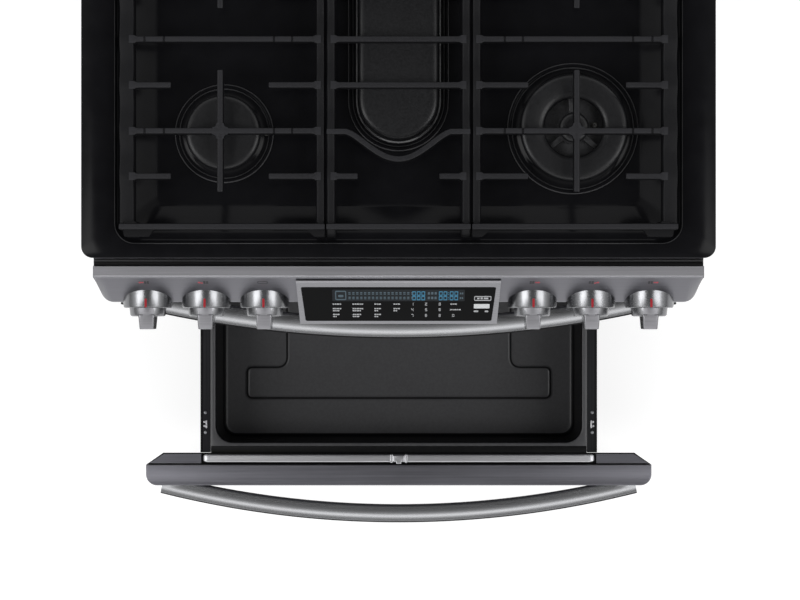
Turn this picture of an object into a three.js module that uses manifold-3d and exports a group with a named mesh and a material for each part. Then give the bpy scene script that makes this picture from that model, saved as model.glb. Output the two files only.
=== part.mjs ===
// Freestanding gas range with five burners, an oven and an open storage drawer.
// Millimetres, +Z up, +X to the cook's right, +Y to the rear.
// The pieces are modelled with y = 0 at the cooktop's front edge. The finished group is then moved,
// so that its origin is on the floor under the middle of the whole object.

import * as THREE from 'three';
import { mergeVertices } from 'three/addons/utils/BufferGeometryUtils.js';
import Module from 'manifold-3d';

const wasm = await Module();
wasm.setup();

// ---------------------------------------------------------------- driving dimensions

const GAP = 0.3; // clearance between pieces that touch
const SHEET = 1.5; // ordinary sheet metal
const LINER = 1.2; // enamelled oven sheet
const ROUND_STEPS = 20; // sides of a round piece
const SMALL_STEPS = 12; // sides of a small round piece
const CORNER_STEPS = 4; // chords in a rounded corner
const THROUGH = 1; // how far a cutting tool runs past what it cuts

const COOKTOP_HALF = 380;
const BODY_HALF = 367;
const BODY_DEPTH = 620;
const DECK_TOP = 914;
const DECK_BOTTOM = 905;
const DECK_DEPTH = 540;
const DECK_CORNER = 14;

const WELL_CENTRE_Y = 259; // the well, grates and burners are symmetric about this line
const WELL_FLOOR = 890;
const WELL_SKIN = 2.5;

const BACK_Y = BODY_DEPTH;
const BODY_FRONT_Y = 14; // front edge of the side panels and of the oven's front frame
const SIDE_INNER = BODY_HALF - SHEET;
const SIDE_BOTTOM = 30;
const SIDE_FLANGE = 20;

const BACK_SLOTS = { half: 160, bottom: 640, height: 8, pitch: 24, count: 5 };
const INLET_WINDOW = { half: 27.5, top: 140 };
const VENT_TRIM_RISE = 8; // how far the rear trim stands above the deck
const VENT_SLOTS = { half: 38, front: 34, depth: 14, pitch: 98, places: [-3, -2, -1, 0, 1, 2, 3] };

const FRAME_BOTTOM = 25;
const FRAME_TOP = 57;
const FRAME_FRONT_Y = 30;
const FRAME_FLANGE = 24;
const FRAME_CROSS_Y = [210, 430];
const FOOT_X = 335;
const FOOT_Y = [60, 580];
const FOOT_PAD = { radius: 20, top: 5 };
const FOOT_NUT = { radius: 9, bottom: 9, top: 14 };
const FOOT_STEM_RADIUS = 5;

const FACE_Y = -43; // front face of the door and of the closed drawer
const FACE_CORNER = 16;
const DOOR_BACK_Y = 2;
const DOOR_SPLIT_Y = -20; // where the outer panel meets the inner panel
const DOOR_BOTTOM = 270;
const DOOR_TOP = 790;
const HINGE_Y = -17;
const HINGE_Z = 292;
const HINGE_PIN = 5;
const PIN_CLEARANCE = 0.5;
const HINGE_PIN_X = [313, 332];
const HINGE_LUG_X = [319, 325];
const HINGE_LUG_REACH = 7; // lug material round the pin's axis
const NOTCH_ROOM = 3; // room in the door round each lug
const HINGE_ARM_X = [328.5, 332.5];
const HINGE_ARM_HEIGHT = 150;
const WINDOW = { half: 230, z: [425, 655], lap: 14, glass: 4 };
const INNER_WINDOW = { half: 210, z: [440, 640] };
const DOOR_INNER_MARGIN = { side: 6, end: 4 };

const OVEN_HALF = 300;
const OVEN_FLOOR = 335;
const OVEN_ROOF = 755;
const OVEN_BACK_Y = 496;
const OVEN_FRAME_HALF = 362;
const OVEN_FRAME_BOTTOM = 262;
const OVEN_FRAME_TOP = 796;
const RACK_LEDGES = [430, 560];
const LEDGE_HEIGHT = 6;
const LEDGE_WIDTH = 12;
const LEDGE_Y = [40, 470];
const RACK = { clearance: 4, y: [44, 466], wire: 5, pitch: 58, places: [-4, -3, -2, -1, 0, 1, 2, 3, 4] };
const INSULATION = 32;
const GASKET = { below: 20, above: 22, width: 14, radius: 24 };
const BAKE_BURNER = { half: 110, radius: 11, z: 302 };
const BROIL_BURNER = { half: 150, radius: 8, z: 733 };
const OVEN_BURNER_Y = { front: 70, straight: 180, rear: 420 };

const HANDLE_REACH = 55.4; // face to the outermost point of a handle
const HANDLE_HALF = 348;
const HANDLE_SAG = 43;
const HANDLE_DEPTH = 26;
const HANDLE_HEIGHT = 23;
const HANDLE_CHORDS = 14;
const DOOR_HANDLE_Z = 770;
const DRAWER_HANDLE_Z = 232;

const DRAWER_TRAVEL = 276.5;
const DRAWER_TOP = 254;
const DRAWER_BOTTOM = 60;
const DRAWER_BACK_HALF = 342.7;
const DRAWER_THICKNESS = 47;
const DRAWER_SHOULDER = 29; // depth where the drawer front starts to narrow
const DRAWER_BRACKET = { x: [180, 230], z: [150, 190] };
const PAN_RIM_HALF = 265.6;
const PAN_FLOOR_HALF = 263.4;
const PAN_FLANGE_HALF = 274;
const PAN_FRONT_Y = 19.6;
const PAN_BACK_Y = 490;
const PAN_FLOOR = 105;
const PAN_RIM = 245;
const PAN_RIM_CORNER = 24;
const PAN_FLOOR_CORNER = 16;
const PAN_FLANGE_BACK_Y = 498;
const RAIL_OUTER = 288.8;
const RAIL_Z = [205, 242];
const CABINET_RAIL = { clearance: 0.5, width: 8.5, y: [25.6, 506], bracketY: [60, 440], bracketLength: 30 };

const KNOB_X = [164, 235.5, 307];
const KNOB_Z = 840;
const KNOB_TRAVEL_ROOM = 5;
const BEZEL_RADIUS = 30;
const BEZEL_WALL = 2;
const BEZEL_FRONT_Y = -60;
const BEZEL_BACK_Y = -36;
const BEZEL_RECESS = 24.6;
const BEZEL_RECESS_DEPTH = 12;
const KNOB_RADIUS = 23.4;
const KNOB_SKIRT = 17.3;
const KNOB_BLADE = 15.7;
const KNOB_BLADE_STEPS = [ // half width, half height and corner radius, from the skirt outwards
  { half: 9.4, tall: 22, radius: 6 }, { half: 8, tall: 21, radius: 6 }, { half: 6.4, tall: 19, radius: 5 }];
const STEM_RADIUS = 3.5;
const STEM_HOLE = 6; // hole in the panel for a stem
const STEM_END = 11; // how far the stem enters the knob
const KNOB_BORE_END = 12.5;

const PANEL_TOP = 904;
const PANEL_BOTTOM = 798;
const PANEL_EDGE = [-22.7, 903]; // y, z of the upper front edge
const PANEL_KNEE = [-52.8, 838]; // y, z where the slant turns vertical
const PANEL_BACK_Y = 12;
const PANEL_CORNER = [22.6, 28]; // plan rounding, x and y
const PANEL_STEP_Y = -9.5; // front of the step under the cooktop's edge
const PANEL_STEP_Z = 896;

const DISPLAY_HALF = 122.5;
const DISPLAY_TOP = [-29.2, 897.6];
const DISPLAY_LIP = [-80, 822];
const DISPLAY_CHIN = [[-76, 814], [-53.8, 808]]; // y, z of the underside, from the lip back to the panel
const DISPLAY_WALL = 3;
const DISPLAY_MARGIN = 6;
const GLASS_THICKNESS = 3;
const GLASS_SINK = 0.5; // how far the glass lies below the frame's face

const MANIFOLD_Y = 22;
const MANIFOLD_END_X = -325;
const PIPE_RADIUS = 9;
const FEED_X = 330;
const FEED_Y = 585;
const INLET = { radius: 10, z: 98, endY: 616 };
const REGULATOR = { radius: 24, z: [100, 124] };
const VALVE_HALF = 12;
const VALVE_FRONT_Y = -20;
const VALVE_BORE = 12;

const BURNER_X = 210;
const FRONT_BURNER_Y = 150.2;
const REAR_BURNER_Y = 2 * WELL_CENTRE_Y - FRONT_BURNER_Y;
const LARGE_BURNER_Y = 156.2; // the large burner sits a little behind its grate's cross
const BURNER_NECK = 18;
const BURNER_HOLE = 24;
const BURNER_NECK_BOTTOM = 866;
const BURNER_HEAD_TOP = 908;
const BURNER_CAP_TOP = 918;
const CAP_EDGE = { drop: 4, inset: 5 }; // the sloped edge of a cap
const BURNER_GROOVE = 10; // depth of the groove between two flame rings

const GRATE_TOP = 945;
const FINGER_BOTTOM = 931;
const RAIL_TOP = 939;
const RAIL_BOTTOM = 921;
const GRATE_FOOT_BOTTOM = 908.4;
const BAR = 8.3;
const GRATE_FRONT_Y = 36.9;
const FINGER_Y = [96.5, 204.6];
const SIDE_GRATE = { outer: 332, outerRail: 19, inner: 87, innerRail: 11.5 };
const SIDE_FINGER_ENDS = { outer: 270, inner: 153.6 };
const SIDE_ARM = { x: 211.5, reach: 72 };
const CENTRE_GRATE_HALF = 86;
const CENTRE_FINGER_END = 48.6;
const BENT_BAR = { shoulder: 62, flatY: 149.5, dip: 32.7, chords: 8 };
const GRATE_TOE_Y = 24; // the feet reach this far forward, onto the ledge
const GRATE_CORNER = 22;

// ---------------------------------------------------------------- materials

const material = (color, roughness, metalness) =>
  new THREE.MeshStandardMaterial({ color, roughness, metalness });

const STAINLESS = material(0x55585d, 0.38, 0.9);
const BRIGHT_STEEL = material(0xb9bcc0, 0.25, 0.95);
const BLACK_ENAMEL = material(0x0b0b0d, 0.12, 0.0);
const CAST_IRON = material(0x222326, 0.75, 0.2);
const BURNER_METAL = material(0x8b8c8e, 0.5, 0.8);
const BLACK_GLASS = material(0x08090b, 0.05, 0.0);
const PAINTED_STEEL = material(0x2a2c30, 0.55, 0.4);
const ZINC_STEEL = material(0x9a9ea3, 0.45, 0.85);
const OVEN_ENAMEL = material(0x1d2433, 0.3, 0.0);
const GLASS_WOOL = material(0xd8c77a, 0.95, 0.0);
const GASKET_FIBRE = material(0x3a3a3a, 0.95, 0.0);
const CHROME_WIRE = material(0xc4c7ca, 0.18, 1.0);
const FOOT_PLASTIC = material(0x151515, 0.7, 0.0);

// ---------------------------------------------------------------- solid helpers

function toSolid(geometry) {
  geometry.deleteAttribute('normal');
  geometry.deleteAttribute('uv');
  const merged = mergeVertices(geometry);
  const vertProperties = new Float32Array(merged.attributes.position.array);
  const triVerts = new Uint32Array(merged.index.array);
  return new wasm.Manifold(new wasm.Mesh({ numProp: 3, vertProperties, triVerts }));
}

function toGeometry(solid) {
  const { vertProperties, triVerts } = solid.getMesh();
  const geometry = new THREE.BufferGeometry();
  geometry.setAttribute('position', new THREE.BufferAttribute(vertProperties, 3));
  geometry.setIndex(new THREE.BufferAttribute(triVerts, 1));
  return geometry;
}

const join = (...solids) => solids.reduce((whole, next) => whole.add(next));
const cut = (body, ...tools) => tools.reduce((whole, next) => whole.subtract(next), body);

// A box between two x, two y and two z values.
function block([x0, x1], [y0, y1], [z0, z1]) {
  const geometry = new THREE.BoxGeometry(Math.abs(x1 - x0), y1 - y0, z1 - z0);
  geometry.translate((x0 + x1) / 2, (y0 + y1) / 2, (z0 + z1) / 2);
  return toSolid(geometry);
}

// The same box on the left (side -1) or the right (side 1), from distances to the middle.
const sideBlock = (side, [x0, x1], y, z) => block([side * x0, side * x1], y, z);

const shapeOf = (points) => new THREE.Shape(points.map(([a, b]) => new THREE.Vector2(a, b)));

function extrude(points, length) {
  return new THREE.ExtrudeGeometry(shapeOf(points), { depth: length, bevelEnabled: false });
}

// An outline of [x, y] points raised between two heights.
function prismZ(points, [z0, z1]) {
  return toSolid(extrude(points, z1 - z0).translate(0, 0, z0));
}

// An outline of [y, z] points run across between two x values.
function prismX(points, [x0, x1]) {
  const turn = new THREE.Matrix4().makeBasis(
    new THREE.Vector3(0, 1, 0), new THREE.Vector3(0, 0, 1), new THREE.Vector3(1, 0, 0));
  return toSolid(extrude(points, x1 - x0).applyMatrix4(turn).translate(x0, 0, 0));
}

// Round bars along each axis.
function rodZ(radius, x, y, [z0, z1], steps = ROUND_STEPS) {
  const geometry = new THREE.CylinderGeometry(radius, radius, z1 - z0, steps);
  return toSolid(geometry.rotateX(Math.PI / 2).translate(x, y, (z0 + z1) / 2));
}

function rodY(radius, x, z, [y0, y1], steps = ROUND_STEPS) {
  const geometry = new THREE.CylinderGeometry(radius, radius, y1 - y0, steps);
  return toSolid(geometry.translate(x, (y0 + y1) / 2, z));
}

function rodX(radius, y, z, [x0, x1], steps = ROUND_STEPS) {
  const geometry = new THREE.CylinderGeometry(radius, radius, Math.abs(x1 - x0), steps);
  return toSolid(geometry.rotateZ(Math.PI / 2).translate((x0 + x1) / 2, y, z));
}

// A profile of [radius, height] points turned about a vertical axis.
function turned(profile, steps = ROUND_STEPS) {
  const points = profile.map(([radius, height]) => new THREE.Vector2(radius, height));
  return toSolid(new THREE.LatheGeometry(points, steps).rotateX(Math.PI / 2));
}

// Rounded rectangle, counter-clockwise, symmetric about x = 0.
function roundedRectangle(half, [y0, y1], radius) {
  const corners = [
    [half - radius, y0 + radius, -Math.PI / 2], [half - radius, y1 - radius, 0],
    [-half + radius, y1 - radius, Math.PI / 2], [-half + radius, y0 + radius, Math.PI],
  ];
  return corners.flatMap(([x, y, start]) => arc(x, y, radius, radius, start, start + Math.PI / 2));
}

// Points of an elliptical arc, both ends included.
function arc(x, y, radiusX, radiusY, start, end, steps = CORNER_STEPS) {
  return Array.from({ length: steps + 1 }, (_, i) => {
    const angle = start + ((end - start) * i) / steps;
    return [x + radiusX * Math.cos(angle), y + radiusY * Math.sin(angle)];
  });
}

// Long round-ended outline, its length along y.
function stadium(halfWidth, halfLength, centreY) {
  const reach = halfLength - halfWidth;
  const steps = ROUND_STEPS / 2;
  return [
    ...arc(0, centreY + reach, halfWidth, halfWidth, 0, Math.PI, steps),
    ...arc(0, centreY - reach, halfWidth, halfWidth, Math.PI, 2 * Math.PI, steps),
  ];
}

// A closed skin through outlines with the same number of points, stacked in z.
function loft(rings) {
  const count = rings[0].outline.length;
  const positions = rings.flatMap(({ outline, z }) => outline.flatMap(([x, y]) => [x, y, z]));
  const index = [];
  for (let ring = 0; ring < rings.length - 1; ring += 1) {
    for (let i = 0; i < count; i += 1) {
      const a = ring * count + i;
      const b = ring * count + ((i + 1) % count);
      index.push(a, b, b + count, a, b + count, a + count);
    }
  }
  const capOf = ({ outline }) =>
    THREE.ShapeUtils.triangulateShape(outline.map(([x, y]) => new THREE.Vector2(x, y)), []);
  const top = (rings.length - 1) * count;
  capOf(rings[0]).forEach(([a, b, c]) => index.push(a, c, b));
  capOf(rings[rings.length - 1]).forEach(([a, b, c]) => index.push(top + a, top + b, top + c));
  const geometry = new THREE.BufferGeometry();
  geometry.setAttribute('position', new THREE.Float32BufferAttribute(positions, 3));
  geometry.setIndex(index);
  return toSolid(geometry);
}

// A round tube through points, as one closed solid.
function tube(points, radius, { steps, sides }) {
  const corners = points.map((p) => new THREE.Vector3(...p));
  const path = new THREE.CatmullRomCurve3(corners, false, 'catmullrom', 0.4);
  const ring = shapeOf(arc(0, 0, radius, radius, 0, 2 * Math.PI, sides).slice(0, sides));
  return toSolid(new THREE.ExtrudeGeometry(ring, { steps, extrudePath: path, bevelEnabled: false }));
}

// ---------------------------------------------------------------- the object's group

const range = new THREE.Group();
range.position.y = (DRAWER_TRAVEL - FACE_Y + HANDLE_REACH - BODY_DEPTH) / 2;
const drawer = new THREE.Group();
drawer.position.y = -DRAWER_TRAVEL;
range.add(drawer);

function addPiece(name, solid, finish, parent = range) {
  const mesh = new THREE.Mesh(toGeometry(solid), finish);
  mesh.name = name;
  parent.add(mesh);
  return mesh;
}

const SIDES = [['left', -1], ['right', 1]];

// ---------------------------------------------------------------- body

function baseFrame() {
  const outer = SIDE_INNER - GAP;
  const z = [FRAME_BOTTOM, FRAME_TOP];
  const depth = [FRAME_FRONT_Y, BACK_Y - 2 * SHEET];
  const inside = [depth[0] + SHEET, depth[1] - SHEET];
  const ring = cut(block([-outer, outer], depth, z),
    block([-outer + SHEET, outer - SHEET], inside, [z[0] - THROUGH, z[1] + THROUGH]));
  const plate = block([-outer, outer], depth, [z[0], z[0] + SHEET]);
  const window = block([-outer + FRAME_FLANGE, outer - FRAME_FLANGE],
    [depth[0] + FRAME_FLANGE, depth[1] - FRAME_FLANGE], [z[0] - THROUGH, z[1]]);
  const crossbars = FRAME_CROSS_Y.map((y) =>
    block([-outer + SHEET, outer - SHEET], [y, y + FRAME_FLANGE], [z[0], z[0] + SHEET]));
  const gussets = FOOT_Y.flatMap((y) => SIDES.map(([, side]) =>
    sideBlock(side, [FOOT_X - FRAME_FLANGE, outer - SHEET], [y - FRAME_FLANGE, y + FRAME_FLANGE],
      [z[0], z[0] + 2 * SHEET])));
  return join(ring, cut(plate, window), ...crossbars, ...gussets);
}

function levellingFoot() {
  const top = FRAME_BOTTOM - GAP;
  const profile = [[0, 0], [FOOT_PAD.radius, 0], [FOOT_PAD.radius, FOOT_PAD.top],
    [FOOT_NUT.radius, FOOT_NUT.bottom], [FOOT_NUT.radius, FOOT_NUT.top],
    [FOOT_STEM_RADIUS, FOOT_NUT.top], [FOOT_STEM_RADIUS, top], [0, top]];
  return turned(profile, SMALL_STEPS);
}

function sidePanel(side) {
  const top = DECK_BOTTOM - GAP;
  const back = BACK_Y - SHEET - GAP;
  const flange = BODY_HALF - SIDE_FLANGE;
  return join(
    sideBlock(side, [SIDE_INNER, BODY_HALF], [BODY_FRONT_Y, back], [SIDE_BOTTOM, top]),
    sideBlock(side, [flange, BODY_HALF], [BODY_FRONT_Y + SHEET, back], [top - SHEET, top]),
    sideBlock(side, [flange, BODY_HALF], [back - SHEET, back], [FRAME_TOP + GAP, top]),
  );
}

function backPanel() {
  const half = BODY_HALF - SHEET;
  const y = [BACK_Y - SHEET, BACK_Y];
  const through = [y[0] - THROUGH, y[1] + THROUGH];
  const inletWindow = block([FEED_X - INLET_WINDOW.half, FEED_X + INLET_WINDOW.half], through,
    [FRAME_TOP, INLET_WINDOW.top]);
  const slots = Array.from({ length: BACK_SLOTS.count }, (_, row) => {
    const bottom = BACK_SLOTS.bottom + row * BACK_SLOTS.pitch;
    return block([-BACK_SLOTS.half, BACK_SLOTS.half], through, [bottom, bottom + BACK_SLOTS.height]);
  });
  return cut(block([-half, half], y, [SIDE_BOTTOM, DECK_BOTTOM - GAP]), inletWindow, ...slots);
}

function rearVentTrim() {
  const y = [DECK_DEPTH + GAP, BACK_Y];
  const z = [DECK_BOTTOM, DECK_TOP + VENT_TRIM_RISE];
  const shell = cut(block([-COOKTOP_HALF, COOKTOP_HALF], y, z),
    block([-COOKTOP_HALF + SHEET, COOKTOP_HALF - SHEET], [y[0] + SHEET, y[1] - SHEET],
      [z[0] - THROUGH, z[1] - SHEET]));
  const slotY = [y[0] + VENT_SLOTS.front, y[0] + VENT_SLOTS.front + VENT_SLOTS.depth];
  const slots = VENT_SLOTS.places.map((place) => {
    const x = place * VENT_SLOTS.pitch;
    return block([x - VENT_SLOTS.half, x + VENT_SLOTS.half], slotY, [z[0], z[1] + THROUGH]);
  });
  return cut(shell, ...slots);
}

// ---------------------------------------------------------------- cooktop, burners and grates

// Half width, front y, corner radius and height of each step of the well, from the floor up.
const WELL_STEPS = [
  { half: 291, front: 64.6, radius: 12, z: WELL_FLOOR },
  { half: 327, front: 31, radius: 20, z: 907 },
  { half: 336, front: 21.5, radius: 22, z: 908 },
  { half: 340, front: 17.4, radius: 24, z: DECK_TOP + THROUGH },
];

const wellOutline = ({ half, front, radius }, grow) =>
  roundedRectangle(half + grow, [front - grow, 2 * WELL_CENTRE_Y - front + grow], radius + grow);

function cooktop() {
  const deck = prismZ(
    roundedRectangle(COOKTOP_HALF, [0, DECK_DEPTH], DECK_CORNER), [DECK_BOTTOM, DECK_TOP]);
  const [floor, ledge] = WELL_STEPS;
  const bowl = loft([
    { outline: wellOutline(floor, WELL_SKIN), z: WELL_FLOOR - WELL_SKIN },
    { outline: wellOutline(ledge, WELL_SKIN), z: DECK_BOTTOM + THROUGH },
  ]);
  const hollow = loft(WELL_STEPS.map((step) => ({ outline: wellOutline(step, 0), z: step.z })));
  const places = [...BURNERS.map(({ x, y }) => [x, y]), [0, WELL_CENTRE_Y]];
  const holes = places.map(([x, y]) =>
    rodZ(BURNER_HOLE, x, y, [WELL_FLOOR - WELL_SKIN - THROUGH, WELL_FLOOR + THROUGH]));
  return cut(deck.add(bowl), hollow, ...holes);
}

// The four round burners: cap and drip ring radii.
const BURNERS = [
  { name: 'front_left', x: -BURNER_X, y: FRONT_BURNER_Y, cap: 45, ring: 59.5 },
  { name: 'rear_left', x: -BURNER_X, y: REAR_BURNER_Y, cap: 37, ring: 51 },
  { name: 'front_right', x: BURNER_X, y: LARGE_BURNER_Y, cap: 64.5, ring: 79, opening: 35, innerCap: 18 },
  { name: 'rear_right', x: BURNER_X, y: REAR_BURNER_Y, cap: 30, ring: 44 },
];
const OVAL = { capHalfWidth: 48, capHalfLength: 117.4, ringHalfWidth: 60.7, ringHalfLength: 130 };
const RING_HEIGHT = 3.2;
const HEAD_INSET = 4;

// Neck, drip ring and head up to the flame ports, shared by every round burner.
function burnerFoot(burner) {
  const seat = WELL_FLOOR + GAP;
  const head = burner.cap - HEAD_INSET;
  return [[0, BURNER_NECK_BOTTOM], [BURNER_NECK, BURNER_NECK_BOTTOM], [BURNER_NECK, seat],
    [burner.ring, seat], [burner.ring, seat + RING_HEIGHT / 2], [burner.ring - 4, seat + RING_HEIGHT],
    [head, seat + RING_HEIGHT + 1], [head, BURNER_HEAD_TOP]];
}

function burnerBase(burner) {
  if (!burner.opening) {
    return turned([...burnerFoot(burner), [0, BURNER_HEAD_TOP]]);
  }
  const groove = BURNER_HEAD_TOP - BURNER_GROOVE;
  return turned([...burnerFoot(burner), [burner.opening + 3, BURNER_HEAD_TOP], [burner.opening + 1, groove],
    [burner.innerCap + 2, groove], [burner.innerCap - 1, BURNER_HEAD_TOP], [0, BURNER_HEAD_TOP]]);
}

function roundCap(radius) {
  const seat = BURNER_HEAD_TOP + GAP;
  return turned([[0, seat], [radius, seat], [radius, BURNER_CAP_TOP - CAP_EDGE.drop],
    [radius - CAP_EDGE.inset, BURNER_CAP_TOP], [0, BURNER_CAP_TOP]]);
}

function ringCap({ cap, opening }) {
  const seat = BURNER_HEAD_TOP + GAP;
  return turned([[opening, seat], [cap, seat], [cap, BURNER_CAP_TOP - CAP_EDGE.drop],
    [cap - CAP_EDGE.inset, BURNER_CAP_TOP], [opening + CAP_EDGE.inset, BURNER_CAP_TOP],
    [opening, BURNER_CAP_TOP - CAP_EDGE.drop], [opening, seat]]);
}

function ovalBase() {
  const seat = WELL_FLOOR + GAP;
  const ring = prismZ(
    stadium(OVAL.ringHalfWidth, OVAL.ringHalfLength, WELL_CENTRE_Y), [seat, seat + RING_HEIGHT]);
  const head = prismZ(
    stadium(OVAL.capHalfWidth - HEAD_INSET, OVAL.capHalfLength - HEAD_INSET, WELL_CENTRE_Y),
    [seat, BURNER_HEAD_TOP]);
  return join(ring, head, rodZ(BURNER_NECK, 0, WELL_CENTRE_Y, [BURNER_NECK_BOTTOM, seat + THROUGH]));
}

function ovalCap() {
  const seat = BURNER_HEAD_TOP + GAP;
  const outline = (inset) => stadium(OVAL.capHalfWidth - inset, OVAL.capHalfLength - inset, WELL_CENTRE_Y);
  return loft([
    { outline: outline(0), z: seat },
    { outline: outline(0), z: BURNER_CAP_TOP - CAP_EDGE.drop },
    { outline: outline(CAP_EDGE.inset), z: BURNER_CAP_TOP },
  ]);
}

const FINGER_Z = [FINGER_BOTTOM, GRATE_TOP];
const GRATE_RAIL_Z = [RAIL_BOTTOM, RAIL_TOP];
const GRATE_FOOT_Z = [GRATE_FOOT_BOTTOM, RAIL_TOP];
const mirrorY = (y) => 2 * WELL_CENTRE_Y - y;
const bothWays = (list) => list.flatMap((y) => [y, mirrorY(y)]);
const barAt = (middle) => [middle - BAR / 2, middle + BAR / 2];
const GRATE_Y = [GRATE_FRONT_Y - BAR / 2, mirrorY(GRATE_FRONT_Y) + BAR / 2];

// The plan outline that all three grates stay inside, rounded like the ledge that carries them.
const grateLimit = () => prismZ(
  roundedRectangle(SIDE_GRATE.outer + 1.5, [GRATE_TOE_Y, mirrorY(GRATE_TOE_Y)], GRATE_CORNER),
  [GRATE_FOOT_BOTTOM, GRATE_TOP]);

// Feet under one rail, at the front and rear ends.
function grateFeet(side, x) {
  const front = [GRATE_TOE_Y, GRATE_Y[0] + BAR];
  const rear = [mirrorY(front[1]), mirrorY(front[0])];
  return [front, rear].map((y) => sideBlock(side, x, y, [GRATE_FOOT_BOTTOM, RAIL_TOP]));
}

function sideGrate(side) {
  const { outer, outerRail, inner, innerRail } = SIDE_GRATE;
  const outerEdge = outer - outerRail;
  const innerEdge = inner + innerRail;
  const full = [inner, outer];
  const crossY = bothWays([FRONT_BURNER_Y]);
  const rails = [
    sideBlock(side, [outerEdge, outer], GRATE_Y, GRATE_RAIL_Z),
    sideBlock(side, [inner, innerEdge], GRATE_Y, GRATE_RAIL_Z),
    ...bothWays([GRATE_FRONT_Y]).map((y) => sideBlock(side, full, barAt(y), FINGER_Z)),
  ];
  const fullBars = [WELL_CENTRE_Y, ...crossY].map((y) => sideBlock(side, full, barAt(y), FINGER_Z));
  const arms = crossY.map((y) =>
    sideBlock(side, barAt(SIDE_ARM.x), [y - SIDE_ARM.reach, y + SIDE_ARM.reach], FINGER_Z));
  const fingers = bothWays(FINGER_Y).flatMap((y) => [
    sideBlock(side, [SIDE_FINGER_ENDS.outer, outer], barAt(y), FINGER_Z),
    sideBlock(side, [inner, SIDE_FINGER_ENDS.inner], barAt(y), FINGER_Z),
  ]);
  const middleFeet = [sideBlock(side, [outerEdge, outer + 2], barAt(WELL_CENTRE_Y), GRATE_FOOT_Z)];
  return join(...rails, ...fullBars, ...arms, ...fingers, ...middleFeet,
    ...grateFeet(side, [outerEdge, outer]), ...grateFeet(side, [inner, innerEdge])).intersect(grateLimit());
}

// The bar that bends round the end of the oval burner, at the front (way 1) or the rear (way -1).
function bentBar(way) {
  const { shoulder, flatY, dip, chords } = BENT_BAR;
  const outerX = CENTRE_GRATE_HALF - THROUGH;
  const bend = (offset) => Array.from({ length: chords + 1 }, (_, i) => {
    const x = -shoulder + (2 * shoulder * i) / chords;
    return [x, flatY - dip * Math.cos((Math.PI * x) / (2 * shoulder)) + offset];
  });
  const near = [[-outerX, flatY - BAR / 2], ...bend(-BAR / 2), [outerX, flatY - BAR / 2]];
  const far = [[outerX, flatY + BAR / 2], ...bend(BAR / 2).reverse(), [-outerX, flatY + BAR / 2]];
  const outline = [...near, ...far];
  return prismZ(way > 0 ? outline : outline.map(([x, y]) => [x, mirrorY(y)]).reverse(), FINGER_Z);
}

function centreGrate() {
  const half = CENTRE_GRATE_HALF;
  const rail = half - SIDE_GRATE.innerRail;
  const fullBars = [WELL_CENTRE_Y, ...bothWays([FINGER_Y[1], GRATE_FRONT_Y])].map((y) =>
    block([-half, half], barAt(y), FINGER_Z));
  const sidePieces = SIDES.flatMap(([, side]) => [
    sideBlock(side, [rail, half], GRATE_Y, GRATE_RAIL_Z),
    ...bothWays([FINGER_Y[0]]).map((y) => sideBlock(side, [CENTRE_FINGER_END, half], barAt(y), FINGER_Z)),
    ...grateFeet(side, [rail, half]),
  ]);
  return join(...fullBars, ...sidePieces, bentBar(1), bentBar(-1));
}

// ---------------------------------------------------------------- control panel and gas train

// Knob centres in x, from the cook's left.
const KNOB_PLACES = KNOB_X.flatMap((x) => [-x, x]).sort((a, b) => a - b);

// Plan outline with the two front corners rounded.
function panelPlan(inset) {
  const half = BODY_HALF - inset;
  const front = PANEL_KNEE[0] + inset;
  const [roundX, roundY] = PANEL_CORNER;
  return [
    [half, PANEL_BACK_Y + inset],
    [-half, PANEL_BACK_Y + inset],
    ...arc(-half + roundX, front + roundY, roundX, roundY, Math.PI, 1.5 * Math.PI),
    ...arc(half - roundX, front + roundY, roundX, roundY, 1.5 * Math.PI, 2 * Math.PI),
  ];
}

// The profile of the bent fascia: top strip, slant, short vertical, floor; open at the rear when inset.
function panelProfile(inset) {
  const stepY = PANEL_STEP_Y - inset;
  const shoulder = PANEL_STEP_Z - inset;
  return [
    [PANEL_KNEE[0] + inset, PANEL_BOTTOM + inset],
    [PANEL_BACK_Y + inset, PANEL_BOTTOM + inset],
    [PANEL_BACK_Y + inset, shoulder],
    [stepY, shoulder],
    [stepY, PANEL_TOP - inset],
    [PANEL_EDGE[0] + inset, PANEL_TOP - 1.6 * inset],
    [PANEL_KNEE[0] + inset, PANEL_KNEE[1] - inset / 2],
  ];
}

function controlPanel() {
  const across = [-COOKTOP_HALF, COOKTOP_HALF];
  const height = [PANEL_BOTTOM - THROUGH, PANEL_TOP + THROUGH];
  const outside = prismX(panelProfile(0), across).intersect(prismZ(panelPlan(0), height));
  const inside = prismX(panelProfile(SHEET), across).intersect(prismZ(panelPlan(SHEET), height));
  let panel = cut(outside, inside);
  const recessFloor = BEZEL_FRONT_Y + BEZEL_RECESS_DEPTH;
  for (const x of KNOB_PLACES) {
    panel = panel.add(rodY(BEZEL_RADIUS, x, KNOB_Z, [BEZEL_FRONT_Y, BEZEL_BACK_Y]));
    panel = cut(panel,
      rodY(BEZEL_RADIUS - BEZEL_WALL, x, KNOB_Z, [recessFloor + SHEET, VALVE_FRONT_Y]),
      rodY(BEZEL_RECESS, x, KNOB_Z, [BEZEL_FRONT_Y - THROUGH, recessFloor]),
      rodY(STEM_HOLE, x, KNOB_Z, [BEZEL_FRONT_Y, VALVE_FRONT_Y], SMALL_STEPS));
  }
  return panel;
}

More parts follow.
